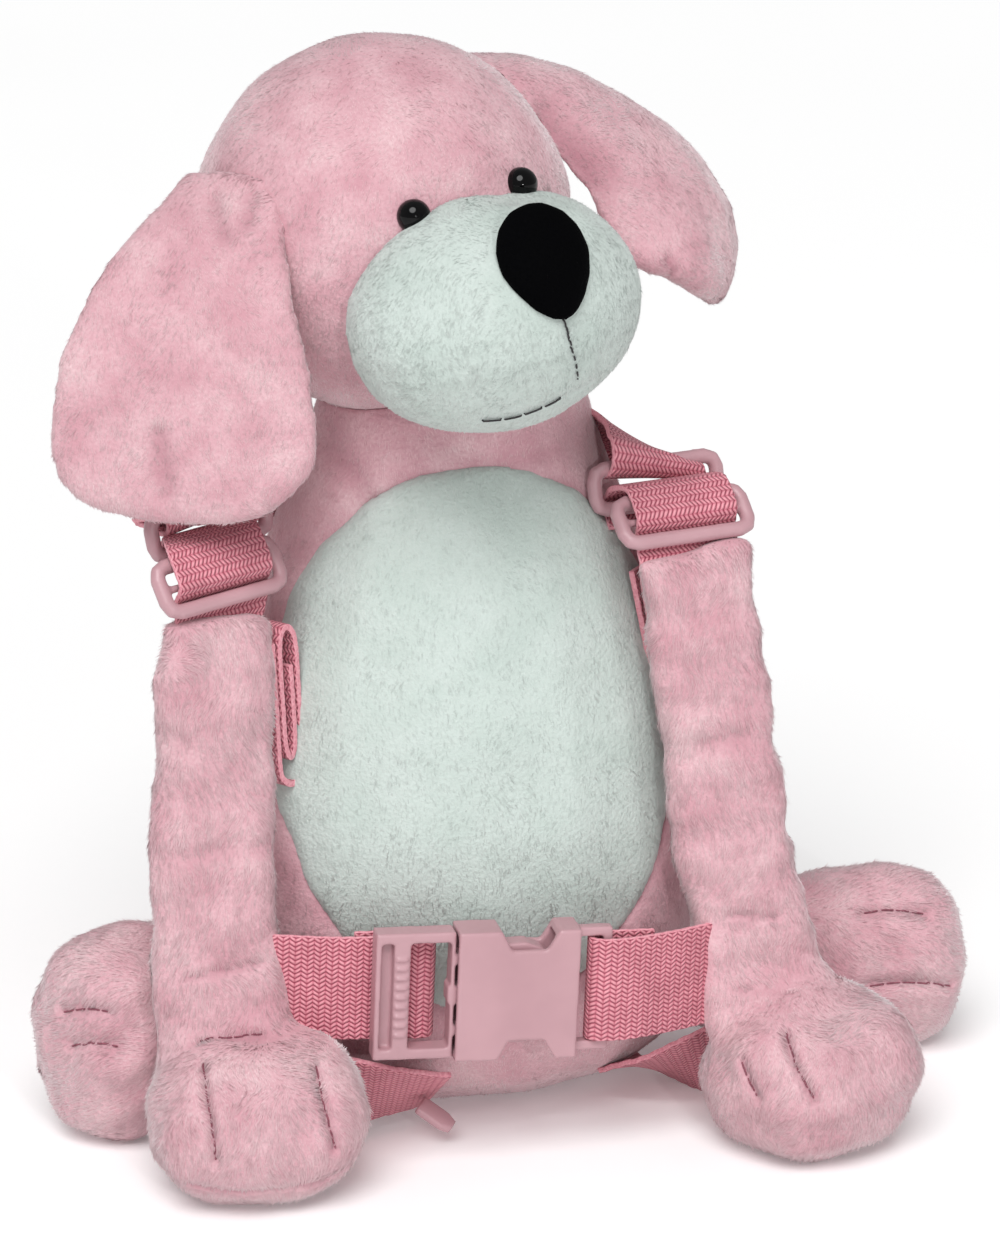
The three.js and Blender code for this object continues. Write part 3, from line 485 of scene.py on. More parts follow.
def stuffed(mesh):
    holder = bpy.data.objects.new("stuffing", mesh)
    scene.collection.objects.link(holder)
    cloth = holder.modifiers.new("cloth", "CLOTH")
    cloth.settings.use_pressure = True
    cloth.settings.uniform_pressure_force = stuffing["pressure"]
    cloth.settings.effector_weights.gravity = 0
    cloth.settings.quality = stuffing["quality"]
    cloth.point_cache.frame_start = 1
    cloth.point_cache.frame_end = stuffing["frames"]
    for number in range(1, stuffing["frames"] + 1):
        scene.frame_set(number)
    before = pointsOf(mesh)
    after = pointsOf(holder.evaluated_get(bpy.context.evaluated_depsgraph_get()).data)
    move = np.nan_to_num(after - before)
    far = np.linalg.norm(move, axis=1)[:, None] + 1e-12
    holder.modifiers.remove(cloth)
    bpy.data.objects.remove(holder)
    scene.frame_set(1)
    movePoints(mesh, before + move * np.minimum(1, stuffing["cap"] * mm / far))
    return mesh


def softForm(name, look, materials):
    nodes = look["nodes"]
    spread = ("DISPLACE", {"strength": look["spread"] * mm, "mid_level": 0})  # joins nodes that only touch
    if look.get("stuffed"):
        mesh = bakeModifiers(nodeMesh(*nodes), [spread, *voxelSteps(stuffing["cell"], stuffing["relax"])])
        mesh = bakeModifiers(stuffed(mesh), [("SUBSURF", {"levels": 1, "render_levels": 1})])
    else:
        mesh = bakeModifiers(nodeMesh(*nodes), [spread, *voxelSteps(look["voxel"], look["smooth"])])
    co, normals = pointsOf(mesh), normalsOf(mesh)
    lumps = ripples(co, look["lumpSize"] * mm, look["seed"]) * look["lump"] * mm
    co += normals * (lumps + look["swell"] * mm)[:, None]
    co[:, 2] = np.maximum(co[:, 2], 0.0)
    movePoints(mesh, co)
    shade = mesh.attributes.new("creaseShade", "FLOAT", "POINT")
    shade.data.foreach_set("value", np.zeros(len(mesh.vertices), np.float32))
    piece = addPiece(name, mesh, materials, nodes)
    return piece


def onSurface(tree, pixels):
    points = []
    for x, y in pixels:
        start, heading = rayOf(x, y)
        hit = tree.ray_cast(start, heading)[0]
        if hit is not None:
            points.append(hit)
    return points


def smoothRun(points, step):
    run = []
    count = len(points)
    for i in range(count - 1):
        a, b, c, d = points[max(i - 1, 0)], points[i], points[i + 1], points[min(i + 2, count - 1)]
        parts = max(1, round((c - b).length / step))
        for k in range(parts):
            t = k / parts
            square, cube = (2 * a - 5 * b + 4 * c - d) * t * t, (3 * b - a - 3 * c + d) * t ** 3
            run.append(0.5 * (2 * b + (c - a) * t + square + cube))
    run.append(points[-1])
    return run


def creaseAlong(piece, points, width, depth, dark=0.8):
    if len(points) < 2:
        return
    mesh = piece.data
    line = np.array([tuple(p) for p in smoothRun(points, 0.6 * mm)])[::2]
    co, normals = pointsOf(mesh), normalsOf(mesh)
    near = np.linalg.norm(co[:, None, :] - line[None], axis=2).min(axis=1)
    pull = np.exp(-((near / (width * mm)) ** 2))
    movePoints(mesh, co - normals * (pull * depth * mm)[:, None])
    # The crease's darkness is kept as painted shade for the fur colour
    shade = mesh.attributes["creaseShade"].data
    values = np.empty(len(co), np.float32)
    shade.foreach_get("value", values)
    shade.foreach_set("value", np.maximum(values, pull * dark).astype(np.float32))


def addPile(name, skin, look, materials, crowd, keep=None):
    mesh = skin.data
    mesh.calc_loop_triangles()
    co, normals = pointsOf(mesh), normalsOf(mesh)
    tris = np.empty(len(mesh.loop_triangles) * 3, np.int32)
    mesh.loop_triangles.foreach_get("vertices", tris)
    tris = tris.reshape(-1, 3)
    shade = np.empty(len(co), np.float32)
    mesh.attributes["creaseShade"].data.foreach_get("value", shade)
    a, b, c = co[tris[:, 0]], co[tris[:, 1]], co[tris[:, 2]]
    areas = np.linalg.norm(np.cross(b - a, c - a), axis=1)
    middles = (a + b + c) / 3
    if keep is not None:
        areas = areas * keep(middles)
    areas = areas * (middles[:, 2] > look["floorClear"] * mm)
    rng = np.random.default_rng(look["seed"])
    pick = rng.choice(len(tris), size=look["count"], p=areas / areas.sum())
    r = np.sqrt(rng.random(look["count"]))
    s = rng.random(look["count"])
    weights = (1 - r)[:, None], (r * (1 - s))[:, None], (r * s)[:, None]
    corners = tris[pick]

    def atRoots(values):
        return sum(values[corners[:, k]] * weights[k] for k in range(3))

    # The crease value both shortens the fibres and is their painted shade
    root, out, dentAndShade = atRoots(co), atRoots(normals), atRoots(shade[:, None])[:, 0]
    out /= np.linalg.norm(out, axis=1)[:, None]

    # The pile lies along the comb's direction and wanders in patches and tufts
    def waves(size, sway, first):
        return np.stack([ripples(root, size * mm, look["seed"] + first + k) * sway for k in range(3)], axis=1)

    comb = np.array(look["comb"], float)[None, :] + waves(look["combSize"], look["combSway"], 0)
    comb = comb - (comb * out).sum(axis=1)[:, None] * out
    comb /= np.linalg.norm(comb, axis=1)[:, None] + 1e-9
    tuft = waves(look["tuft"], look["tuftSway"], 10)
    stray = rng.normal(size=root.shape) * look["stray"]
    raised = rng.random(len(root)) < look["raised"]
    lean = np.radians(np.where(raised, look["raisedLean"], look["lean"]))[:, None]
    axis = out * np.cos(lean) + comb * np.sin(lean) + tuft + stray
    lift = (axis * out).sum(axis=1)
    axis += out * np.maximum(0, look["leastLift"] - lift)[:, None]
    axis /= np.linalg.norm(axis, axis=1)[:, None]

    # Fibres shorten in creases and where another piece is near
    length = look["length"] * mm * rng.uniform(*look["vary"], len(root)) * (1 - look["creaseCut"] * dentAndShade)
    room = np.full(len(root), 1.0)
    for i, point in enumerate(root.tolist()):
        found = crowd.find_nearest(point, look["length"] * 1.3 * mm)
        if found[0] is not None:
            room[i] = found[3]
    length = np.minimum(length, look["leastLength"] * mm + look["roomShare"] * room)
    long = length > look["shortest"] * look["length"] * mm
    root, out, axis, length, dentAndShade = root[long], out[long], axis[long], length[long], dentAndShade[long]
    count = len(root)
    side = np.cross(axis, out) + rng.normal(size=root.shape) * look["sideStray"]
    side -= (side * axis).sum(axis=1)[:, None] * axis
    side /= np.linalg.norm(side, axis=1)[:, None] + 1e-9
    half = look["width"] * mm / 2 * rng.uniform(*look["vary"], count)[:, None]
    base = root - out * look["rootDepth"] * mm
    verts = np.stack([base - side * half, base + side * half, base + axis * length[:, None]], axis=1)
    ofSkin, ofFibre, ofChance = look["lit"]
    lit = out * ofSkin + axis * ofFibre + rng.normal(size=out.shape) * ofChance
    facing = (np.cross(verts[:, 1] - verts[:, 0], verts[:, 2] - verts[:, 0]) * out).sum(axis=1) < 0
    verts[facing] = verts[facing][:, [1, 0, 2]]
    verts[:, :, 2] = np.maximum(verts[:, :, 2], 0.2 * mm)
    pile = bpy.data.meshes.new(name)
    pile.vertices.add(count * 3)
    pile.vertices.foreach_set("co", verts.astype(np.float32).ravel())
    pile.loops.add(count * 3)
    pile.loops.foreach_set("vertex_index", np.arange(count * 3, dtype=np.int32))
    pile.polygons.add(count)
    pile.polygons.foreach_set("loop_start", np.arange(0, count * 3, 3, dtype=np.int32))
    uv = pile.uv_layers.new(name="pile")
    pileUv = np.zeros((count, 3, 2), np.float32)
    pileUv[:, :, 0] = rng.random(count)[:, None]
    pileUv[:, 2, 1] = 1
    uv.data.foreach_set("uv", pileUv.ravel())
    # Painted shade of the creases, carried onto the fibres
    shadeOut = pile.attributes.new("creaseShade", "FLOAT", "POINT")
    shadeOut.data.foreach_set("value", np.repeat(dentAndShade, 3).astype(np.float32))
    pile.update(calc_edges=True)
    addPiece(name, pile, materials)
    lit /= np.linalg.norm(lit, axis=1)[:, None]
    pile.normals_split_custom_set_from_vertices(np.repeat(lit, 3, axis=0).astype(np.float32))


# Lengths are mm and angles degrees from the skin's normal
plush = {
    "spread": 0.3,
    "voxel": 1.9,
    "smooth": 16,
    "lump": 0.25,
    "lumpSize": 22,
    "swell": 0.35,
    "fill": 0.7,
    "length": 1.6,
    "width": 0.42,
    "vary": (0.7, 1.2),
    "lean": 81,
    "raised": 0.05,
    "raisedLean": 70,
    "leastLift": 0.1,
    "comb": (0, 0, -1),
    "combSize": 16,
    "combSway": 0.45,
    "tuft": 3.2,
    "tuftSway": 0.05,
    "stray": 0.06,
    "sideStray": 0.15,
    "rootDepth": 0.15,
    "creaseCut": 0.55,
    "leastLength": 0.25,
    "roomShare": 0.85,
    "shortest": 0.3,
    "floorClear": 0.8,
    "lit": (0.85, 0.3, 0.08),
}
pinkForm = {"fur": "pink"}
paleForm = {"fur": "pale", "voxel": 1.4, "smooth": 12, "raised": 0}
earForm = {"fur": "pink", "count": 33000, "voxel": 1.1, "smooth": 15, "swell": 1.0}
limbForm = {
    "fur": "pink",
    "count": 60000,
    "voxel": 1.2,
    "smooth": 16,
    "stuffed": True,
    "lump": 0.5,
    "lumpSize": 14,
    "length": 2.1,
    "raised": 0.09,
    "raisedLean": 64,
}
legForm = {**limbForm, "count": 30000}
softPieces = {
    "plushBody": {**pinkForm, "nodes": ["body"], "seed": 11, "count": 94000, "lump": 0.45},
    "bellyPanel": {**paleForm, "nodes": ["belly_panel"], "seed": 12, "count": 49000},
    "plushHead": {**pinkForm, "nodes": ["head"], "seed": 13, "count": 66000, "comb": (0, 0.3, -1)},
    "muzzlePad": {**paleForm, "nodes": ["muzzle"], "seed": 14, "count": 40000, "smooth": 16, "comb": (-0.3, 0.5, -1)},
    "rightEar": {**earForm, "nodes": ["ear_right"], "seed": 15},
    "leftEar": {**earForm, "nodes": ["ear_left"], "seed": 16, "comb": (0.7, 0, -0.7)},
    "rightArm": {**limbForm, "nodes": ["strap_sleeve_right", "front_paw_right"], "seed": 17},
    "leftArm": {**limbForm, "nodes": ["strap_sleeve_left", "front_paw_left"], "seed": 18},
    "rightHindLeg": {**legForm, "nodes": ["hind_leg_right"], "seed": 21, "comb": (-1, 0.4, -0.6)},
    "leftHindLeg": {**legForm, "nodes": ["hind_leg_left"], "seed": 22, "comb": (1, 0.4, -0.6)},
}
furs = {
    "pink": (pinkFurMats, "pink_plush"),
    "pale": (paleFurMats, "pale_plush"),
}

skins = {}
for name, own in softPieces.items():
    look = {**plush, **own}
    mats, slot = furs[look["fur"]]
    skins[name] = softForm(name, look, [mats[0]])
print("soft pieces formed")

# Creases and seams that show in the photograph, by its pixels, with width, depth and the darkness of their painted
# shade
creases = [
    ("rightArm", [(203, 1062), (206, 1090), (211, 1125), (216, 1163)], 1.2, 2.2, 0.4),
    ("rightArm", [(316, 1066), (321, 1090), (328, 1120), (336, 1150)], 1.2, 2.2, 0.4),
    ("rightArm", [(146, 1160), (190, 1184), (250, 1192), (310, 1184), (350, 1165)], 1.0, 0.8, 0.4),
    ("leftArm", [(742, 1060), (748, 1078), (757, 1098)], 1.2, 1.4, 0.3),
    ("leftArm", [(786, 1030), (791, 1050), (801, 1075), (815, 1100)], 1.2, 2.0, 0.45),
    ("leftHindLeg", [(862, 913), (885, 910), (905, 911), (925, 914)], 1.7, 1.7, 0.2),
    ("leftHindLeg", [(868, 986), (895, 983), (925, 983), (952, 986)], 1.7, 1.7, 0.2),
    ("rightHindLeg", [(62, 1012), (85, 1009), (110, 1012)], 1.7, 1.7, 0.2),
    ("rightHindLeg", [(70, 1046), (95, 1043), (120, 1046)], 1.7, 1.7, 0.2),
    ("rightArm", [(152, 986), (185, 978), (225, 970), (262, 961)], 1.0, 0.7, 0.35),
    ("rightArm", [(150, 1044), (200, 1040), (262, 1034)], 1.3, 1.2, 0.4),
    ("leftArm", [(690, 917), (730, 913), (775, 916)], 1.0, 0.7, 0.3),
    ("leftArm", [(700, 992), (745, 988), (790, 991)], 1.0, 0.7, 0.3),
    ("rightArm", [(166, 736), (200, 754), (233, 767)], 2.6, 0.8, 0.12),
    ("rightArm", [(160, 859), (212, 852), (262, 847)], 2.4, 0.7, 0.1),
    ("leftArm", [(705, 744), (745, 735), (785, 724)], 2.6, 0.9, 0.12),
    ("leftArm", [(724, 859), (760, 852), (797, 847)], 2.4, 0.7, 0.1),
    ("plushBody", [(322, 442), (350, 468), (374, 505)], 2.6, 1.3, 0.2),
    ("plushBody", [(440, 446), (490, 462), (545, 456)], 2.4, 0.9, 0.12),
    # This wide crease paints shade over the ear's inner face
    ("leftEar", [(548, 118), (572, 148), (596, 186)], 6.0, 2.4, 0.4),
    ("rightEar", [(204, 168), (212, 200), (222, 235)], 2.4, 1.2, 0.3),
    ("rightEar", [(252, 168), (250, 195), (246, 220)], 2.4, 1.0, 0.25),
    ("rightEar", [(158, 436), (160, 460), (166, 494)], 2.2, 1.3, 0.3),
    ("leftEar", [(676, 258), (682, 266), (686, 274)], 1.8, 1.6, 0.5),
    ("muzzlePad", [(562, 318), (568, 335), (573, 352), (577, 380)], 0.9, 0.35, 0.2),
    ("muzzlePad", [(484, 419), (505, 417), (525, 412), (558, 399), (596, 378)], 0.9, 0.35, 0.2),
]
for name, pixels, width, depth, dark in creases:
    creaseAlong(skins[name], onSurface(treeOf(skins[name]), pixels), width, depth, dark)

# Stuffed places that stand fuller or flatter than the plain solids
lobes = [
    ("leftEar", (704, 262), 13, 1.8, (-2.4, -0.4, -0.5)),
    ("leftEar", (665, 225), 9, 0.8, (-1.2, 0, -0.2)),
    ("muzzlePad", (521, 190), 9, -1.9, (0, 0, -0.6)),
]
for name, pixel, reach, lift, shift in lobes:
    spot = onSurface(treeOf(skins[name]), [pixel])
    if spot:
        co, normals = pointsOf(skins[name].data), normalsOf(skins[name].data)
        share = np.exp(-(np.linalg.norm(co - np.array(spot[0]), axis=1) / (reach * mm)) ** 2)[:, None]
        movePoints(skins[name].data, co + share * (normals * lift * mm + np.array(shift) * mm))

# The body's top is sewn to the head
neck = {"low": 142, "high": 153, "reach": 10, "share": 0.9}
headTree = treeOf(skins["plushHead"])
co = pointsOf(skins["plushBody"].data)
for i in np.flatnonzero(co[:, 2] > neck["low"] * mm).tolist():
    near, _, _, far = headTree.find_nearest(co[i], neck["reach"] * mm)
    if near is not None:
        height = min(1, (co[i, 2] / mm - neck["low"]) / (neck["high"] - neck["low"]))
        co[i] += (np.array(near) - co[i]) * neck["share"] * height * (1 - (far / (neck["reach"] * mm)) ** 2)
movePoints(skins["plushBody"].data, co)
print("creases pressed in")

pouchBox = {"low": (-62, 2, 20), "high": (42, 58, 120)}


def outsideOfPouch(points):
    low, high = np.array(pouchBox["low"]) * mm, np.array(pouchBox["high"]) * mm
    return ~np.all((points > low) & (points < high), axis=1)


for name, own in softPieces.items():
    look = {**plush, **own}
    mats, slot = furs[look["fur"]]
    keep = outsideOfPouch if name == "plushBody" else None
    addPile(name + "Pile", skins[name], look, [mats[1]], crowdTree(*look["nodes"]), keep)
print("pile laid")

# Nose and eyes
noseLook = {
    **plush,
    "nodes": ["nose"],
    "voxel": 0.6,
    "smooth": 30,
    "lump": 0.0,
    "swell": 0.1,
    "seed": 31,
    "count": 12000,
    "length": 0.6,
    "width": 0.22,
    "tuft": 1.6,
}
nosePad = softForm("nosePad", noseLook, [blackFurMats[0]])
addPile("nosePadPile", nosePad, noseLook, [blackFurMats[1]], crowdTree("nose"))

head = {"yaw": 19, "pitch": -15, "roll": -8.5, "x": -0.395, "y": -0.052, "z": 0.825}
headTurn = Euler([math.radians(head[key]) for key in ("pitch", "roll", "yaw")], "YXZ").to_matrix()
headMiddle = Vector((head["x"] * part["skullRadius"], head["y"] * part["bodyDepth"], part["bodyHeight"]))
headMiddle += Vector((0, 0, head["z"] * part["skullRadius"])) + Vector(part["shift"])
eyes = {
    "segments": 48,
    "rings": 32,
    "diameter": 7.3,
    "spread": 0.334 * part["skullRadius"],
    "forward": 38.8,
    "rise": 0.035 * part["skullRadius"],
    "flatten": 0.96,
}


def makeEye(name, node, side):
    bm = bmesh.new()
    bmesh.ops.create_uvsphere(
        bm, u_segments=eyes["segments"], v_segments=eyes["rings"], radius=eyes["diameter"] / 2 * mm
    )
    x, y, z = headTurn.col
    outward = x * side * eyes["spread"] - y * eyes["forward"] + z * eyes["rise"]
    turn = outward.to_track_quat("Z", "Y").to_matrix()
    bmesh.ops.scale(bm, vec=(1, 1, eyes["flatten"]), verts=bm.verts)
    bmesh.ops.rotate(bm, matrix=turn, verts=bm.verts)
    bmesh.ops.translate(bm, vec=(headMiddle + outward) * mm, verts=bm.verts)
    mesh = bpy.data.meshes.new(name)
    bm.to_mesh(mesh)
    bm.free()
    addPiece(name, mesh, [glossMat], (node,))


makeEye("rightEye", "eye_right", -1)
makeEye("leftEye", "eye_left", 1)
print("nose and eyes set")

# Webbing
webLook = {
    "thickness": 1.35,
    "scallop": 0.12,
    "step": 0.9,
    "sideStep": 0.02,
    "acrossCount": 14,
    "bevel": 0.35,
    "bevelAngle": 60,
}
layer = part["bar"] + part["gap"] + part["webThickness"] / 2  # from a bar's middle to that of the web on it
ringBehind = 2 * part["bar"] + 1.4 * layer
ringLow = part["sliderHeight"] / 2 + part["bar"]
lowBar = part["bar"] - part["sliderHeight"] / 2
shoulders = {
    "right": {
        "mouth": {"x": -1.02, "y": -0.37, "z": 0.735},
        "yaw": 25,
        "roll": -4,
        "tilt": -32,
        "inward": 0.02,
        "behind": 0.16,
        "above": 0.6,
        "ringIn": 6,
    },
    "left": {
        "mouth": {"x": 0.8, "y": -0.395, "z": 0.79},
        "yaw": 9,
        "roll": -2,
        "tilt": -48,
        "inward": -0.02,
        "behind": 0.3,
        "above": 0.48,
        "ringIn": -1,
    },
}


def bodyPlace(row):
    return Vector((row["x"] * part["bodyWidth"] / 2, row["y"] * part["bodyDepth"], row["z"] * part["bodyHeight"]))


def standAt(point, tilt, roll, yaw):
    turn = Euler([math.radians(angle) for angle in (tilt, roll, yaw)], "XYZ")
    return Matrix.Translation(point) @ turn.to_matrix().to_4x4()


def sliderMatrix(name):
    own = shoulders[name]
    aside = own["inward"] * part["bodyWidth"] / 2
    shift = Vector((aside, own["behind"] * part["sliderHeight"], own["above"] * part["sliderHeight"]))
    return standAt(bodyPlace(own["mouth"]) + shift, own["tilt"], own["roll"], own["yaw"])


def ringMatrix(name):
    own = shoulders[name]
    ringBar = sliderMatrix(name) @ Vector((own["ringIn"], ringBehind, ringLow))
    return standAt(ringBar, -12, own["roll"], own["yaw"])


# Out of the sleeve, over the slider, back over the ring's lower bar and down
adjusterRows = [
    {"up": lowBar, "front": -layer, "inward": 0},
    {"up": lowBar + 0.75 * layer, "front": -0.75 * layer, "inward": 0},
    {"up": lowBar + 1.04 * layer, "front": 0, "inward": 0},
    {"up": lowBar + 1.4 * layer, "front": 0.8 * layer, "inward": 0},
    {"up": 0, "front": 1.1 * layer, "inward": 0},
    {"up": -lowBar, "front": 1.1 * layer, "inward": 0.02},
    {"up": -lowBar + layer, "front": 0.6 * layer, "inward": 0.15},
    {"up": ringLow + layer, "front": -ringBehind / 2, "inward": 0.7},
    {"up": ringLow + 1.1 * layer, "front": -ringBehind, "inward": 1},
    {"up": ringLow + 0.8 * layer, "front": -ringBehind - 0.8 * layer, "inward": 1},
    {"up": ringLow - 0.3 * layer, "front": -ringBehind - 1.15 * layer, "inward": 1},
    {"up": ringLow - 1.1 * layer, "front": -ringBehind - 1.15 * layer, "inward": 1},
]


def adjusterRoute(name):
    matrix, inward = sliderMatrix(name), shoulders[name]["ringIn"]
    route = [bodyPlace(shoulders[name]["mouth"]) - Vector((0, 0, 2 * part["webThickness"]))]
    route += [matrix @ Vector((row["inward"] * inward, -row["front"], row["up"])) for row in adjusterRows]
    return route, [matrix.col[0].xyz]


# The slack hangs in two loops, one in the other
slacks = {
    "right": {"x": -0.76, "y": -0.345, "z": 0.71, "lean": 0.03, "heading": 130, "length": 0.6},
    "left": {"x": 0.63, "y": -0.34, "z": 0.78, "lean": 0.2, "heading": 53, "length": 0.96},
}
slackRows = [
    {"spread": -1, "depth": 0.08},
    {"spread": -1, "depth": 0.5},
    {"spread": -1, "depth": 0.88},
    {"spread": -0.6, "depth": 0.97},
    {"spread": 0, "depth": 1},
    {"spread": 0.6, "depth": 0.97},
    {"spread": 1, "depth": 0.88},
    {"spread": 1, "depth": 0.5},
    {"spread": 1, "depth": 0.14},
    {"spread": 0.75, "depth": 0.04},
    {"spread": 0.25, "depth": 0},
    {"spread": -0.25, "depth": 0.05},
    {"spread": -0.42, "depth": 0.18},
    {"spread": -0.45, "depth": 0.5},
    {"spread": -0.4, "depth": 0.74},
    {"spread": 0, "depth": 0.83},
    {"spread": 0.4, "depth": 0.74},
    {"spread": 0.45, "depth": 0.45},
    {"spread": 0.42, "depth": 0.25},
]


def slackRoute(name):
    own = slacks[name]
    heading = math.radians(own["heading"])
    across = Vector((math.cos(heading), math.sin(heading), 0))
    apart = Vector((math.sin(heading), -math.cos(heading), 0))
    route = []
    for row in slackRows:
        point = bodyPlace({"x": own["x"] + own["lean"] * row["depth"], "y": own["y"], "z": own["z"]})
        point.z -= row["depth"] * own["length"] * part["hangLength"]
        route.append(point + across * part["webWidth"] / 2 + apart * row["spread"] * part["slackSpread"] / 2)
    return route, [across]


# From the body's back, turning to lie flat, over the ring's top bar and back beneath it
sewnEnds = {
    "right": [{"x": -0.38, "y": 0.19, "z": 0.844}, {"x": -0.766, "y": 0.057, "z": 0.851}],
    "left": [{"x": 0.38, "y": 0.19, "z": 0.856}, {"x": 0.551, "y": 0.057, "z": 0.879}],
}
sewnSides = {"right": [(0.05, -0.35, 0.93), (0.6, 0.1, 0.7)], "left": [(0.05, 0.3, -0.95), (0.7, 0.3, -0.6)]}
upperRows = [
    {"back": 0.9 * part["ringHeight"], "up": 1.4 * layer},
    {"back": 0.3 * layer, "up": 1.02 * layer},
    {"back": -0.75 * layer, "up": 0.75 * layer},
    {"back": -1.05 * layer, "up": 0},
    {"back": -0.75 * layer, "up": -0.75 * layer},
    {"back": 0.3 * layer, "up": -1.02 * layer},
    {"back": 0.9 * part["ringHeight"], "up": -0.6 * layer},
]


def upperRoute(name):
    matrix, top = ringMatrix(name), part["ringHeight"] - 2 * part["bar"]
    route = [bodyPlace(row) for row in sewnEnds[name]]
    route += [matrix @ Vector((0, row["back"], top + row["up"])) for row in upperRows]
    flat = matrix.col[0].xyz
    return route, [*sewnSides[name], flat, flat, flat]


# Each half turns round its bar in the buckle and runs into a sleeve
belt = {"x": -0.027, "y": -0.56, "z": 0.25, "roll": 2.5}
beltRows = {
    "right": [
        {"x": -0.98, "back": 0.95},
        {"x": -0.76, "back": 0.62},
        {"x": -0.62, "back": 0.48},
        {"x": -0.5, "back": 0.44},
        {"x": -0.36, "back": 0.43},
        {"x": -0.29, "back": 0.34},
        {"x": -0.245, "back": 0.45},
        {"x": -0.235, "back": 0.62},
        {"x": -0.27, "back": 0.74},
        {"x": -0.38, "back": 0.77},
        {"x": -0.56, "back": 0.82},
    ],
    "left": [
        {"x": 0.97, "back": 0.66},
        {"x": 0.9, "back": 0.46},
        {"x": 0.8, "back": 0.2},
        {"x": 0.68, "back": -0.06},
        {"x": 0.58, "back": -0.24},
        {"x": 0.48, "back": -0.3},
        {"x": 0.43, "back": -0.22},
        {"x": 0.412, "back": 0},
        {"x": 0.43, "back": 0.22},
        {"x": 0.48, "back": 0.31},
        {"x": 0.58, "back": 0.32},
        {"x": 0.7, "back": 0.33},
    ],
}


def beltRoute(name):
    middle = (belt["x"] * part["bodyWidth"], belt["y"] * part["bodyDepth"], belt["z"] * part["bodyHeight"])
    matrix = standAt(Vector(middle) - Vector((0, part["buckleThickness"] / 2, 0)), 0, belt["roll"], 0)
    size = part["buckleLength"], part["buckleThickness"]
    route = [matrix @ Vector((row["x"] * size[0], row["back"] * size[1], 0)) for row in beltRows[name]]
    return route, [matrix.col[2].xyz]


# From behind each paw down to the foot of the body, turning to lie flat
sideRows = {
    "right": [
        {"x": -0.95, "y": -0.43, "z": 0.75},
        {"x": -0.76, "y": -0.46, "z": 0.68},
        {"x": -0.56, "y": -0.46, "z": 0.62},
        {"x": -0.38, "y": -0.44, "z": 0.56},
        {"x": -0.2, "y": -0.42, "z": 0.52},
    ],
    "left": [
        {"x": 1.14, "y": -0.42, "z": 0.75},
        {"x": 1.0, "y": -0.4, "z": 0.6},
        {"x": 0.87, "y": -0.34, "z": 0.42},
        {"x": 0.75, "y": -0.26, "z": 0.28},
        {"x": 0.6, "y": -0.16, "z": 0.22},
    ],
}
sideTurns = {
    "right": [(0, 0, 1), (0, -0.2, 0.97), (0, -0.5, 0.85), (0, -0.75, 0.66), (0.1, -0.8, 0.6)],
    "left": [(0, 0, 1), (-0.2, -0.4, 0.9), (-0.4, -0.6, 0.66), (-0.5, -0.8, 0.4), (-0.5, -0.85, 0.15)],
}


def sideRoute(name):
    size = {"x": part["bodyWidth"] / 2, "y": part["bodyDepth"], "z": part["webWidth"]}
    return [Vector([row[k] * size[k] for k in "xyz"]) for row in sideRows[name]], sideTurns[name]


def makeWebbing(name, node, route, turns):
    points = [(point + Vector(part["shift"])) * mm for point in route]
    sides = [Vector(turn) for turn in turns]
    run = smoothRun(points, webLook["step"] * mm)
    if len(sides) > 1:
        sides = smoothRun(sides, webLook["sideStep"])
    lengths = [0.0]
    for a, b in zip(run, run[1:]):
        lengths.append(lengths[-1] + (b - a).length)
    count, across = len(run) - 1, webLook["acrossCount"]
    bm = bmesh.new()
    bmesh.ops.create_grid(bm, x_segments=count, y_segments=across, size=0.5)
    layer = bm.loops.layers.uv.new("weave")
    for face in bm.faces:
        for loop in face.loops:
            i = round((loop.vert.co.x + 0.5) * count)
            loop[layer].uv = (lengths[i], loop.vert.co.y * part["webWidth"] * mm)
    for vert in bm.verts:
        i, v = round((vert.co.x + 0.5) * count), vert.co.y
        side = sides[round(i / count * (len(sides) - 1))].normalized()
        wave = 1 - math.cos(lengths[i] / weave["leg"] * 2 * math.pi)
        edge = 1 - webLook["scallop"] / part["webWidth"] * wave
        vert.co = run[i] + side * (v * part["webWidth"] * mm * edge)
    mesh = bpy.data.meshes.new(name)
    bm.to_mesh(mesh)
    bm.free()
    mesh.materials.append(webbingMat)
    mesh.materials.append(selvedgeMat)
    solid = {"thickness": webLook["thickness"] * mm, "offset": 0, "material_offset_rim": 1}
    bevel = {"width": webLook["bevel"] * mm, "segments": 2, "limit_method": "ANGLE"}
    bevel["angle_limit"] = math.radians(webLook["bevelAngle"])
    steps = [("SOLIDIFY", solid), ("BEVEL", bevel)]
    mesh = bakeModifiers(mesh, steps)
    co = pointsOf(mesh)
    co[:, 2] = np.maximum(co[:, 2], 0.0)
    movePoints(mesh, co)
    addPiece(name, mesh, [webbingMat, selvedgeMat], (node,))


routers = {
    "adjuster": adjusterRoute,
    "slack": slackRoute,
    "upper": upperRoute,
    "belt": beltRoute,
    "side": sideRoute,
}
for name in ("right", "left"):
    for kind, router in routers.items():
        makeWebbing(name + kind.title() + "Webbing", kind + "_web_" + name, *router(name))
print("webbing woven")

# Plastic
plasticLook = {"cell": 0.45, "smooth": 4, "buckleCell": 0.36, "buckleSmooth": 5}


def mouldPlastic(name, node, cell, smooth):
    mesh = bakeModifiers(nodeMesh(node), voxelSteps(cell, smooth))
    addPiece(name, mesh, [plasticMat], (node,))


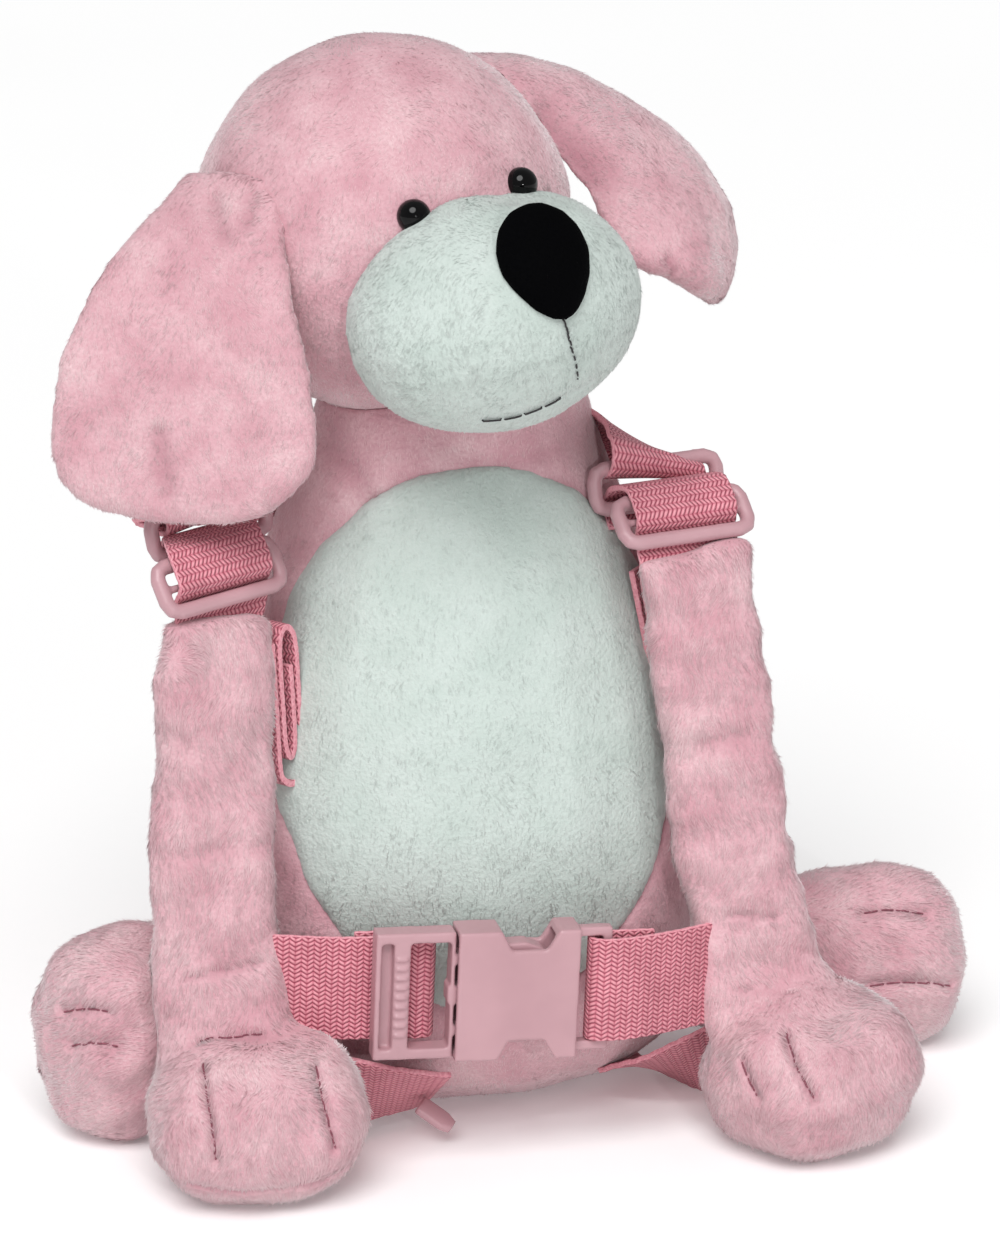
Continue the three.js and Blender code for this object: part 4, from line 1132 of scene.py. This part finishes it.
for side in ("right", "left"):
    mouldPlastic(side + "Slider", "slider_" + side, plasticLook["cell"], plasticLook["smooth"])
    mouldPlastic(side + "Ring", "ring_" + side, plasticLook["cell"], plasticLook["smooth"])
mouldPlastic("sideTab", "side_tab", plasticLook["cell"], plasticLook["smooth"])
for half in ("male", "female"):
    mouldPlastic("buckle" + half.title(), "buckle_" + half, plasticLook["buckleCell"], plasticLook["buckleSmooth"])
print("plastic moulded")

# Threads and zip
threadLook = {
    "end": 0.55,
    "sink": 0.2,
    "mouth": {"radius": 0.22, "lift": 0.62},
    "toe": {"radius": 0.2, "lift": 0.42, "stitch": 3.4, "space": 0.3},
}


def sewThread(name, runs, radius, mat):
    data = bpy.data.curves.new(name, "CURVE")
    data.dimensions = "3D"
    data.bevel_depth = radius * mm
    data.bevel_resolution = 2
    data.use_fill_caps = True
    for run in runs:
        spline = data.splines.new("POLY")
        spline.points.add(len(run) - 1)
        for point, place in zip(spline.points, run):
            point.co = (*place, 1)
            point.radius = 1
        spline.points[0].radius = spline.points[-1].radius = threadLook["end"]
    holder = bpy.data.objects.new(name + "Curve", data)
    scene.collection.objects.link(holder)
    mesh = bpy.data.meshes.new_from_object(holder.evaluated_get(bpy.context.evaluated_depsgraph_get()))
    bpy.data.objects.remove(holder)
    addPiece(name, mesh, [mat])


def stitchRuns(tree, pixels, stitch, space, lift):
    line = smoothRun(onSurface(tree, pixels), 0.25 * mm)
    runs, run, travelled, last = [], [], 0.0, line[0]
    for point in line:
        travelled += (point - last).length
        last = point
        place = travelled % ((stitch + space) * mm)
        if place <= stitch * mm:
            near, normal = tree.find_nearest(point)[:2]
            bow = math.sin(math.pi * place / (stitch * mm))
            run.append(near + normal * (lift * min(1, 5 * bow) - threadLook["sink"]) * mm)
        elif run:
            runs.append(run)
            run = []
    if len(run) > 1:
        runs.append(run)
    return [r for r in runs if len(r) > 2]


muzzleTree = treeOf(skins["muzzlePad"])
faceThreads = [  # pixels of the photograph, stitch and space
    ([(562, 318), (566, 330), (570, 345)], 5.0, 0.2),
    ([(570, 347), (574, 360), (577, 378)], 1.8, 0.5),
    ([(482, 420), (505, 418), (525, 413), (545, 405), (560, 397)], 4.2, 0.25),
]
runs = []
for pixels, stitch, space in faceThreads:
    runs += stitchRuns(muzzleTree, pixels, stitch, space, threadLook["mouth"]["lift"])
sewThread("mouthThread", runs, threadLook["mouth"]["radius"], blackThread)

# Toes and the sleeves' ends are drawn in with a dark thread
seamThreads = [
    ("rightArm", [(203, 1062), (206, 1090), (211, 1125), (216, 1160)]),
    ("rightArm", [(316, 1066), (321, 1090), (328, 1120), (336, 1148)]),
    ("rightArm", [(150, 1045), (200, 1041), (262, 1034)]),
    ("leftArm", [(786, 1032), (791, 1050), (801, 1075), (814, 1098)]),
    ("leftArm", [(742, 1062), (748, 1078), (757, 1096)]),
    ("leftHindLeg", [(864, 913), (885, 910), (905, 911), (923, 914)]),
    ("leftHindLeg", [(870, 986), (895, 983), (925, 983), (950, 986)]),
    ("rightHindLeg", [(64, 1012), (85, 1009), (108, 1012)]),
    ("rightHindLeg", [(72, 1046), (95, 1043), (118, 1046)]),
]
runs = []
toe = threadLook["toe"]
for name, pixels in seamThreads:
    runs += stitchRuns(treeOf(skins[name]), pixels, toe["stitch"], toe["space"], toe["lift"])
sewThread("toeThread", runs, toe["radius"], seamThread)

zipTape = {"cell": 0.6, "smooth": 5}
zipMesh = bakeModifiers(nodeMesh("zip_tape"), voxelSteps(zipTape["cell"], zipTape["smooth"]))
zipPiece = addPiece("zipTape", zipMesh, [pinkThread], ("zip_tape",))
teeth = {"first": -37.5, "last": 15, "step": 1.6, "rows": (98.0, 106.0), "size": (0.85, 1.1, 1.5), "bevel": 0.18}
zipTree = treeOf(zipPiece)
toothBm = bmesh.new()
for row, level in enumerate(teeth["rows"]):
    place = teeth["first"] + row * teeth["step"] / 2
    while place < teeth["last"]:
        hit = zipTree.ray_cast(Vector((place, 200, level)) * mm, Vector((0, -1, 0)))[0]
        if hit is not None:
            fit = Matrix.Translation(hit) @ Matrix.Diagonal((*(v * mm for v in teeth["size"]), 1))
            bmesh.ops.create_cube(toothBm, size=1, matrix=fit)
        place += teeth["step"]
toothMesh = bpy.data.meshes.new("zipTeeth")
toothBm.to_mesh(toothMesh)
toothBm.free()
toothMesh = bakeModifiers(toothMesh, [("BEVEL", {"width": teeth["bevel"] * mm, "segments": 2})])
addPiece("zipTeeth", toothMesh, [plasticMat])
print("threads sewn")

# Floor and light
room = {
    "floor": 30.0,
    "floorGlow": 0.12,
    "world": 0.36,
    "sun": 2.5,
    "sunFrom": (-0.28, -0.72, 1.0),
    "sunAngle": 38,
    "spark": 1.3,
    "sparkFrom": (0.05, -1.0, 0.36),
    "sparkSize": 0.022,
}
floorMat, floorTree, floorShader = newMaterial(
    "paleFloor", Roughness=0.6, Emission_Color=(1, 1, 1, 1), Emission_Strength=room["floorGlow"]
)
floorStops = [(0.3, (0.93, 0.93, 0.93, 1)), (0.7, (0.95, 0.95, 0.95, 1))]
floorTint = rampOf(floorTree, noiseOf(floorTree, 1.5), floorStops)
floorTree.links.new(floorTint, floorShader.inputs["Base Color"])
floorBm = bmesh.new()
bmesh.ops.create_grid(floorBm, x_segments=8, y_segments=8, size=room["floor"] / 2)
floorMesh = bpy.data.meshes.new("floor")
floorBm.to_mesh(floorMesh)
floorBm.free()
floor = bpy.data.objects.new("floor", floorMesh)
scene.collection.objects.link(floor)
floorMesh.materials.append(floorMat)
floor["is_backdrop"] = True

world = bpy.data.worlds.new("studio")
scene.world = world
world.use_nodes = True
world.node_tree.nodes["Background"].inputs["Color"].default_value = (1, 1, 1, 1)
studio = world.node_tree
seen = addNode(studio, "ShaderNodeLightPath").outputs["Is Camera Ray"]
glow = calc(studio, "ADD", calc(studio, "MULTIPLY", seen, 1 - room["world"]), room["world"])
studio.links.new(glow, studio.nodes["Background"].inputs["Strength"])  # the empty studio looks white


sun = bpy.data.lights.new("windowLight", "SUN")
sun.energy = room["sun"]
sun.angle = math.radians(room["sunAngle"])
sunHolder = bpy.data.objects.new("windowLight", sun)
sunHolder.rotation_euler = Vector(room["sunFrom"]).to_track_quat("Z", "Y").to_euler()
scene.collection.objects.link(sunHolder)

# A small lamp for the eyes' highlights
spark = bpy.data.lights.new("sparkLight", "AREA")
spark.shape = "DISK"
spark.size = room["sparkSize"]
spark.energy = room["spark"]
sparkHolder = bpy.data.objects.new("sparkLight", spark)
sparkHolder.location = room["sparkFrom"]
sparkAim = Vector((0, 0, 0.1)) - Vector(room["sparkFrom"])
sparkHolder.rotation_euler = sparkAim.to_track_quat("-Z", "Y").to_euler()
scene.collection.objects.link(sparkHolder)
scene.view_settings.view_transform = "Standard"
print("studio lit")

# Size
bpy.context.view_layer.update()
meshPieces = [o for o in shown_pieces() if o.type == "MESH"]
triangles = {o.name: sum(len(f.vertices) - 2 for f in o.data.polygons) for o in meshPieces}
print("triangles", sum(triangles.values()), sorted(triangles.items(), key=lambda item: -item[1])[:6])
